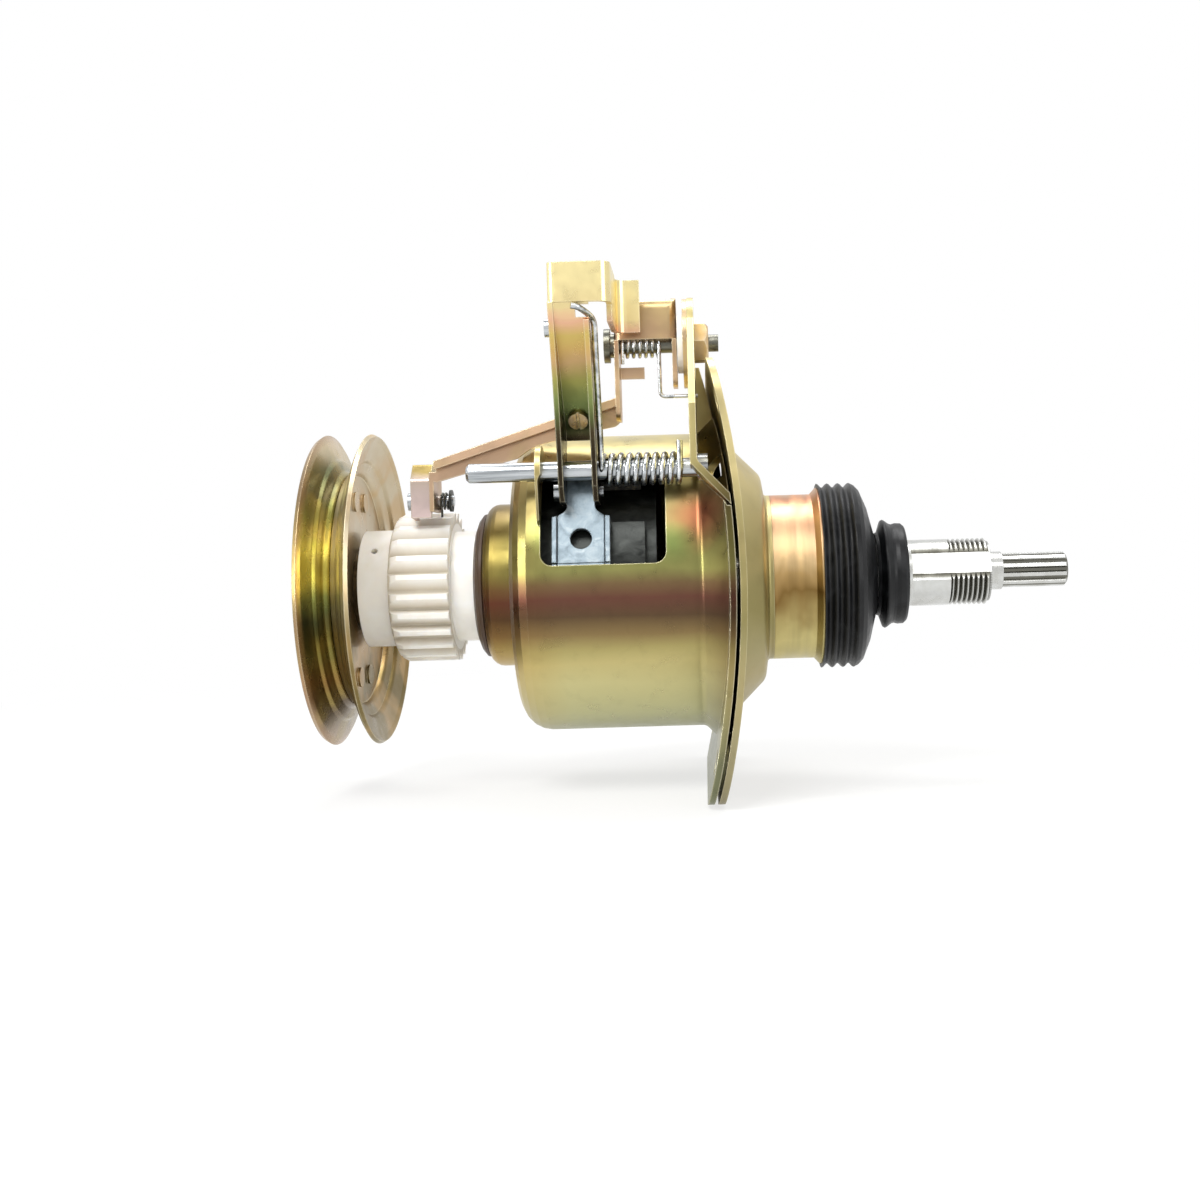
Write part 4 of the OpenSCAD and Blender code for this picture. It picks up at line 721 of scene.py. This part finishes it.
def turned_piece(name, profile, place, sides):
    """A piece turned about an axis along X: the profile holds (x, radius) in metres from its place."""
    deselect()
    bpy.ops.mesh.primitive_plane_add(size=1)
    piece = bpy.context.view_layer.objects.active
    piece.name = name
    shape = bmesh.new()
    ring = [shape.verts.new((x, 0, radius)) for x, radius in profile]
    for a, b in zip(ring, ring[1:]):
        shape.edges.new((a, b))
    shape.to_mesh(piece.data)
    shape.free()
    bpy.ops.object.mode_set(mode="EDIT")
    bpy.ops.mesh.select_all(action="SELECT")
    bpy.ops.mesh.spin(steps=sides, angle=2 * pi, center=(0, 0, 0), axis=(1, 0, 0))
    bpy.ops.mesh.select_all(action="SELECT")
    bpy.ops.mesh.remove_doubles(threshold=1e-6)
    bpy.ops.mesh.normals_make_consistent(inside=False)
    bpy.ops.object.mode_set(mode="OBJECT")
    bpy.ops.object.shade_smooth_by_angle(angle=radians(35))
    piece.location = place
    return place_is_mesh(piece)


class CLUTCH_OT_lock_nut(bpy.types.Operator):
    """Cut the chamfered hexagon nut on the pivot screw"""
    bl_idname = "clutch.lock_nut"
    bl_label = "Lock nut"

    def execute(self, context):
        low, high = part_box("lock_nut")
        middle = centre_of("lock_nut")
        length = high.x - low.x
        reach = (high.z - low.z) / 2
        flat = reach * cos(pi / 6)
        deselect()
        bpy.ops.mesh.primitive_cylinder_add(
            vertices=6, radius=reach, depth=length, location=middle, rotation=(0, radians(90), 0))
        nut = context.view_layer.objects.active
        nut.name = "lock_nut_hexagon"
        place_is_mesh(nut)
        # The chamfer is a turned cone that the hexagon keeps inside itself
        chamfer = turned_piece("nut_blank", [
            (-0.1 * MM, 0), (-0.1 * MM, reach + 0.1 * MM), (length - 1.5 * MM, reach + 0.1 * MM),
            (length - 0.3 * MM, flat * 0.98), (length + 0.02 * MM, flat * 0.9), (length + 0.02 * MM, 0),
        ], (low.x, middle.y, middle.z), 48)
        cut = nut.modifiers.new("Chamfer", "BOOLEAN")
        cut.operation = "INTERSECT"
        cut.object = chamfer
        deselect()
        nut.select_set(True)
        context.view_layer.objects.active = nut
        bpy.ops.object.modifier_apply(modifier="Chamfer")
        bpy.data.objects.remove(chamfer)
        bpy.ops.object.shade_smooth_by_angle(angle=radians(30))
        fit_piece(nut, "housing", bpy.data.materials["Yellow zinc, fasteners"], "lock_nut")
        return {"FINISHED"}


class CLUTCH_OT_clutch_spring(bpy.types.Operator):
    """Wind the wrap spring inside the ratchet sleeve"""
    bl_idname = "clutch.clutch_spring"
    bl_label = "Clutch spring"

    def execute(self, context):
        low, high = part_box("clutch_spring")
        wire = sizes().clutch_wire
        turns = 12
        radius = (high.z - low.z - wire) / 2
        pitch = (high.x - low.x - wire) / turns
        path = coil(low.x + wire / 2, pitch, turns, radius, (0, 0), 0, 48)
        wire_piece("clutch_spring_wire", path, wire, "ratchet", "clutch_spring",
                   bpy.data.materials["Oiled steel, dark"], sides=3)
        return {"FINISHED"}


# Stage

def area_lamp(name, place, target, size, power):
    data = bpy.data.lights.new(name, "AREA")
    data.shape = "RECTANGLE"
    data.size, data.size_y = size
    data.energy = power
    lamp = bpy.data.objects.new(name, data)
    lamp.location = place
    lamp.rotation_euler = (Vector(target) - Vector(place)).to_track_quat("-Z", "Y").to_euler()
    bpy.context.scene.collection.objects.link(lamp)


def seen_directly(tree):
    """1 for what the camera sees, by itself or in metal and glass, and 0 for light that falls on a piece."""
    path = add_node(tree, "ShaderNodeLightPath")
    rays = math_node(tree, "MAXIMUM", path.outputs["Is Camera Ray"], path.outputs["Is Glossy Ray"])
    return math_node(tree, "MAXIMUM", rays, path.outputs["Is Transmission Ray"])


def backdrop_material():
    """Matt paper that shows white to the camera and in metal, and keeps the object's soft shadow."""
    material, tree, shader, place = start_material("Matt paper, backdrop")
    fibre = noise(tree, place, 2.0, 3.0)
    paper = ramp(tree, fibre, [(0.3, [c * 0.97 for c in finishes().backdrop]), (0.7, finishes().backdrop)])
    tree.links.new(paper, shader.inputs["Base Color"])
    shader.inputs["Roughness"].default_value = 0.9
    glow = add_node(tree, "ShaderNodeEmission", {"Color": (1, 1, 1, 1), "Strength": 1.0})
    # The floor near the object keeps its shadow; further off the paper turns white
    away = add_node(tree, "ShaderNodeVectorMath", {0: place}, operation="LENGTH").outputs[1]
    white = remap(tree, away, 200, 650, 0.7, 1.0)
    seen = math_node(tree, "MULTIPLY", seen_directly(tree), white)
    blend = add_node(tree, "ShaderNodeMixShader", {
        0: seen, 1: shader.outputs["BSDF"], 2: glow.outputs["Emission"]})
    tree.links.new(blend.outputs[0], tree.nodes["Material Output"].inputs["Surface"])
    return material


def flag_card(number, place, size, code):
    """A dark card outside the view that only reflections see, so that bright metal has its dark bands."""
    deselect()
    bpy.ops.mesh.primitive_plane_add(size=1, location=place)
    card = bpy.context.view_layer.objects.active
    card.name = f"flag_{number}"
    card.scale = (*size, 1)
    card.rotation_euler = (-Vector(place)).to_track_quat("Z", "Y").to_euler()
    bpy.ops.object.transform_apply(location=True, rotation=True, scale=True)
    for ray in ("camera", "diffuse", "transmission", "volume_scatter", "shadow"):
        setattr(card, "visible_" + ray, False)
    material, tree, shader, place_mm = start_material(f"Felt, dark flag {number}")
    nap = noise(tree, place_mm, 3.0, 3.0)
    base = linear(code)
    tint = ramp(tree, nap, [(0.3, [c * 0.85 for c in base]), (0.7, base)])
    tree.links.new(tint, shader.inputs["Base Color"])
    shader.inputs["Roughness"].default_value = 0.95
    set_material(card, material)
    return card


class CLUTCH_OT_stage(bpy.types.Operator):
    """Lay the paper floor and backdrop, hang the lamps and set the camera"""
    bl_idname = "clutch.stage"
    bl_label = "Studio"

    def execute(self, context):
        scene = context.scene
        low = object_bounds()[0]
        deselect()
        floor_z = low.z - 1 * MM
        bpy.ops.mesh.primitive_grid_add(x_subdivisions=2, y_subdivisions=24, size=1)
        floor = context.view_layer.objects.active
        floor.name = "paper_floor"
        # A sheet of paper, 7 m wide, that lies from y = -2 m to 1.2 m and then curves up to a wall
        width, length, near_y, flat_to, bend = 7.0, 5.0, -2.0, 1.2, 0.9
        for vertex in floor.data.vertices:
            along = (vertex.co.y + 0.5) * length + near_y
            vertex.co.x *= width
            if along <= flat_to:
                vertex.co.y, vertex.co.z = along, floor_z
            else:
                turn = min((along - flat_to) / bend, pi / 2)
                vertex.co.y = flat_to + bend * sin(turn)
                vertex.co.z = floor_z + bend * (1 - cos(turn)) + max(0, along - flat_to - bend * pi / 2)
        bpy.ops.object.shade_smooth()
        set_material(floor, backdrop_material())
        floor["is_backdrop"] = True

        flags = [((-0.1, -1.25, 0.72), (2.2, 0.2), "#3b342a"), ((-0.1, -1.3, -0.42), (2.2, 0.12), "#4a4438"),
                 ((1.35, -0.9, 0.1), (0.16, 1.2), "#2f2d28"), ((-1.15, -0.75, 0.1), (0.14, 1.2), "#38342a")]
        for number, (place, size, code) in enumerate(flags, 1):
            flag_card(number, place, size, code)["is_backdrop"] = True

        world = bpy.data.worlds.new("Pale room")
        scene.world = world
        world.use_nodes = True
        tree = world.node_tree
        background = tree.nodes["Background"]
        background.inputs["Color"].default_value = (1, 1, 1, 1)
        # Dim light on the object, and a white room behind it
        tree.links.new(remap(tree, seen_directly(tree), 0, 1, 0.42, 0.9), background.inputs["Strength"])

        middle = (0, 0, 0)
        area_lamp("Key softbox", (-0.35, -0.75, 0.85), middle, (0.5, 0.5), 9.5)
        area_lamp("Fill softbox", (0.8, -0.7, 0.15), middle, (0.4, 0.8), 3.5)
        area_lamp("Top softbox", (0.1, 0.25, 0.95), middle, (0.8, 0.4), 6.5)
        area_lamp("Left strip", (-0.95, -0.42, 0.12), middle, (0.1, 0.7), 7.0)
        area_lamp("Shaft softbox", (0.29, -0.7, 0.55), (0.1, 0, 0), (0.28, 0.28), 0.7)

        data = bpy.data.cameras.new("Photo camera")
        camera = bpy.data.objects.new("Photo camera", data)
        scene.collection.objects.link(camera)
        data.sensor_width = 36
        data.lens = data.sensor_width * PHOTO_FOCAL / PHOTO_WIDTH
        data.shift_x = 0.5 - PHOTO_SIGHT[0] / PHOTO_WIDTH
        data.shift_y = PHOTO_SIGHT[1] / PHOTO_WIDTH - 0.5
        data.clip_start = 0.01
        aim = Vector((-6.4 * MM, -sizes().camera_distance, 7.03 * MM))
        turn = Matrix.Rotation(radians(90), 4, "X") @ Matrix.Rotation(radians(PHOTO_TURN), 4, "Z")
        camera.matrix_world = Matrix.Translation(aim) @ turn
        scene.camera = camera
        scene.view_settings.view_transform = "Standard"
        return {"FINISHED"}


OPERATORS = [CLUTCH_OT_finishes, CLUTCH_OT_return_spring, CLUTCH_OT_lever_spring, CLUTCH_OT_pawl_spring,
             CLUTCH_OT_clutch_spring, CLUTCH_OT_lock_nut, CLUTCH_OT_stage]


class CLUTCH_PT_panel(bpy.types.Panel):
    bl_idname = "CLUTCH_PT_panel"
    bl_label = "Clutch"
    bl_space_type = "VIEW_3D"
    bl_region_type = "UI"
    bl_category = "Clutch"

    def draw(self, context):
        for group in (finishes(), sizes()):
            for name in type(group).__annotations__:
                self.layout.prop(group, name)
        for operator in OPERATORS:
            self.layout.operator(operator.bl_idname)


GROUPS = [ClutchFinishes, ClutchSizes]


def register():
    for kind in GROUPS + OPERATORS + [CLUTCH_PT_panel]:
        bpy.utils.register_class(kind)
    bpy.types.Scene.clutch_finishes = bpy.props.PointerProperty(type=ClutchFinishes)
    bpy.types.Scene.clutch_sizes = bpy.props.PointerProperty(type=ClutchSizes)


def unregister():
    del bpy.types.Scene.clutch_finishes
    del bpy.types.Scene.clutch_sizes
    for kind in reversed(GROUPS + OPERATORS + [CLUTCH_PT_panel]):
        bpy.utils.unregister_class(kind)


def main():
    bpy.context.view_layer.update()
    register()
    for operator in OPERATORS:
        group, name = operator.bl_idname.split(".")
        getattr(getattr(bpy.ops, group), name)()


if __name__ == "__main__":
    main()
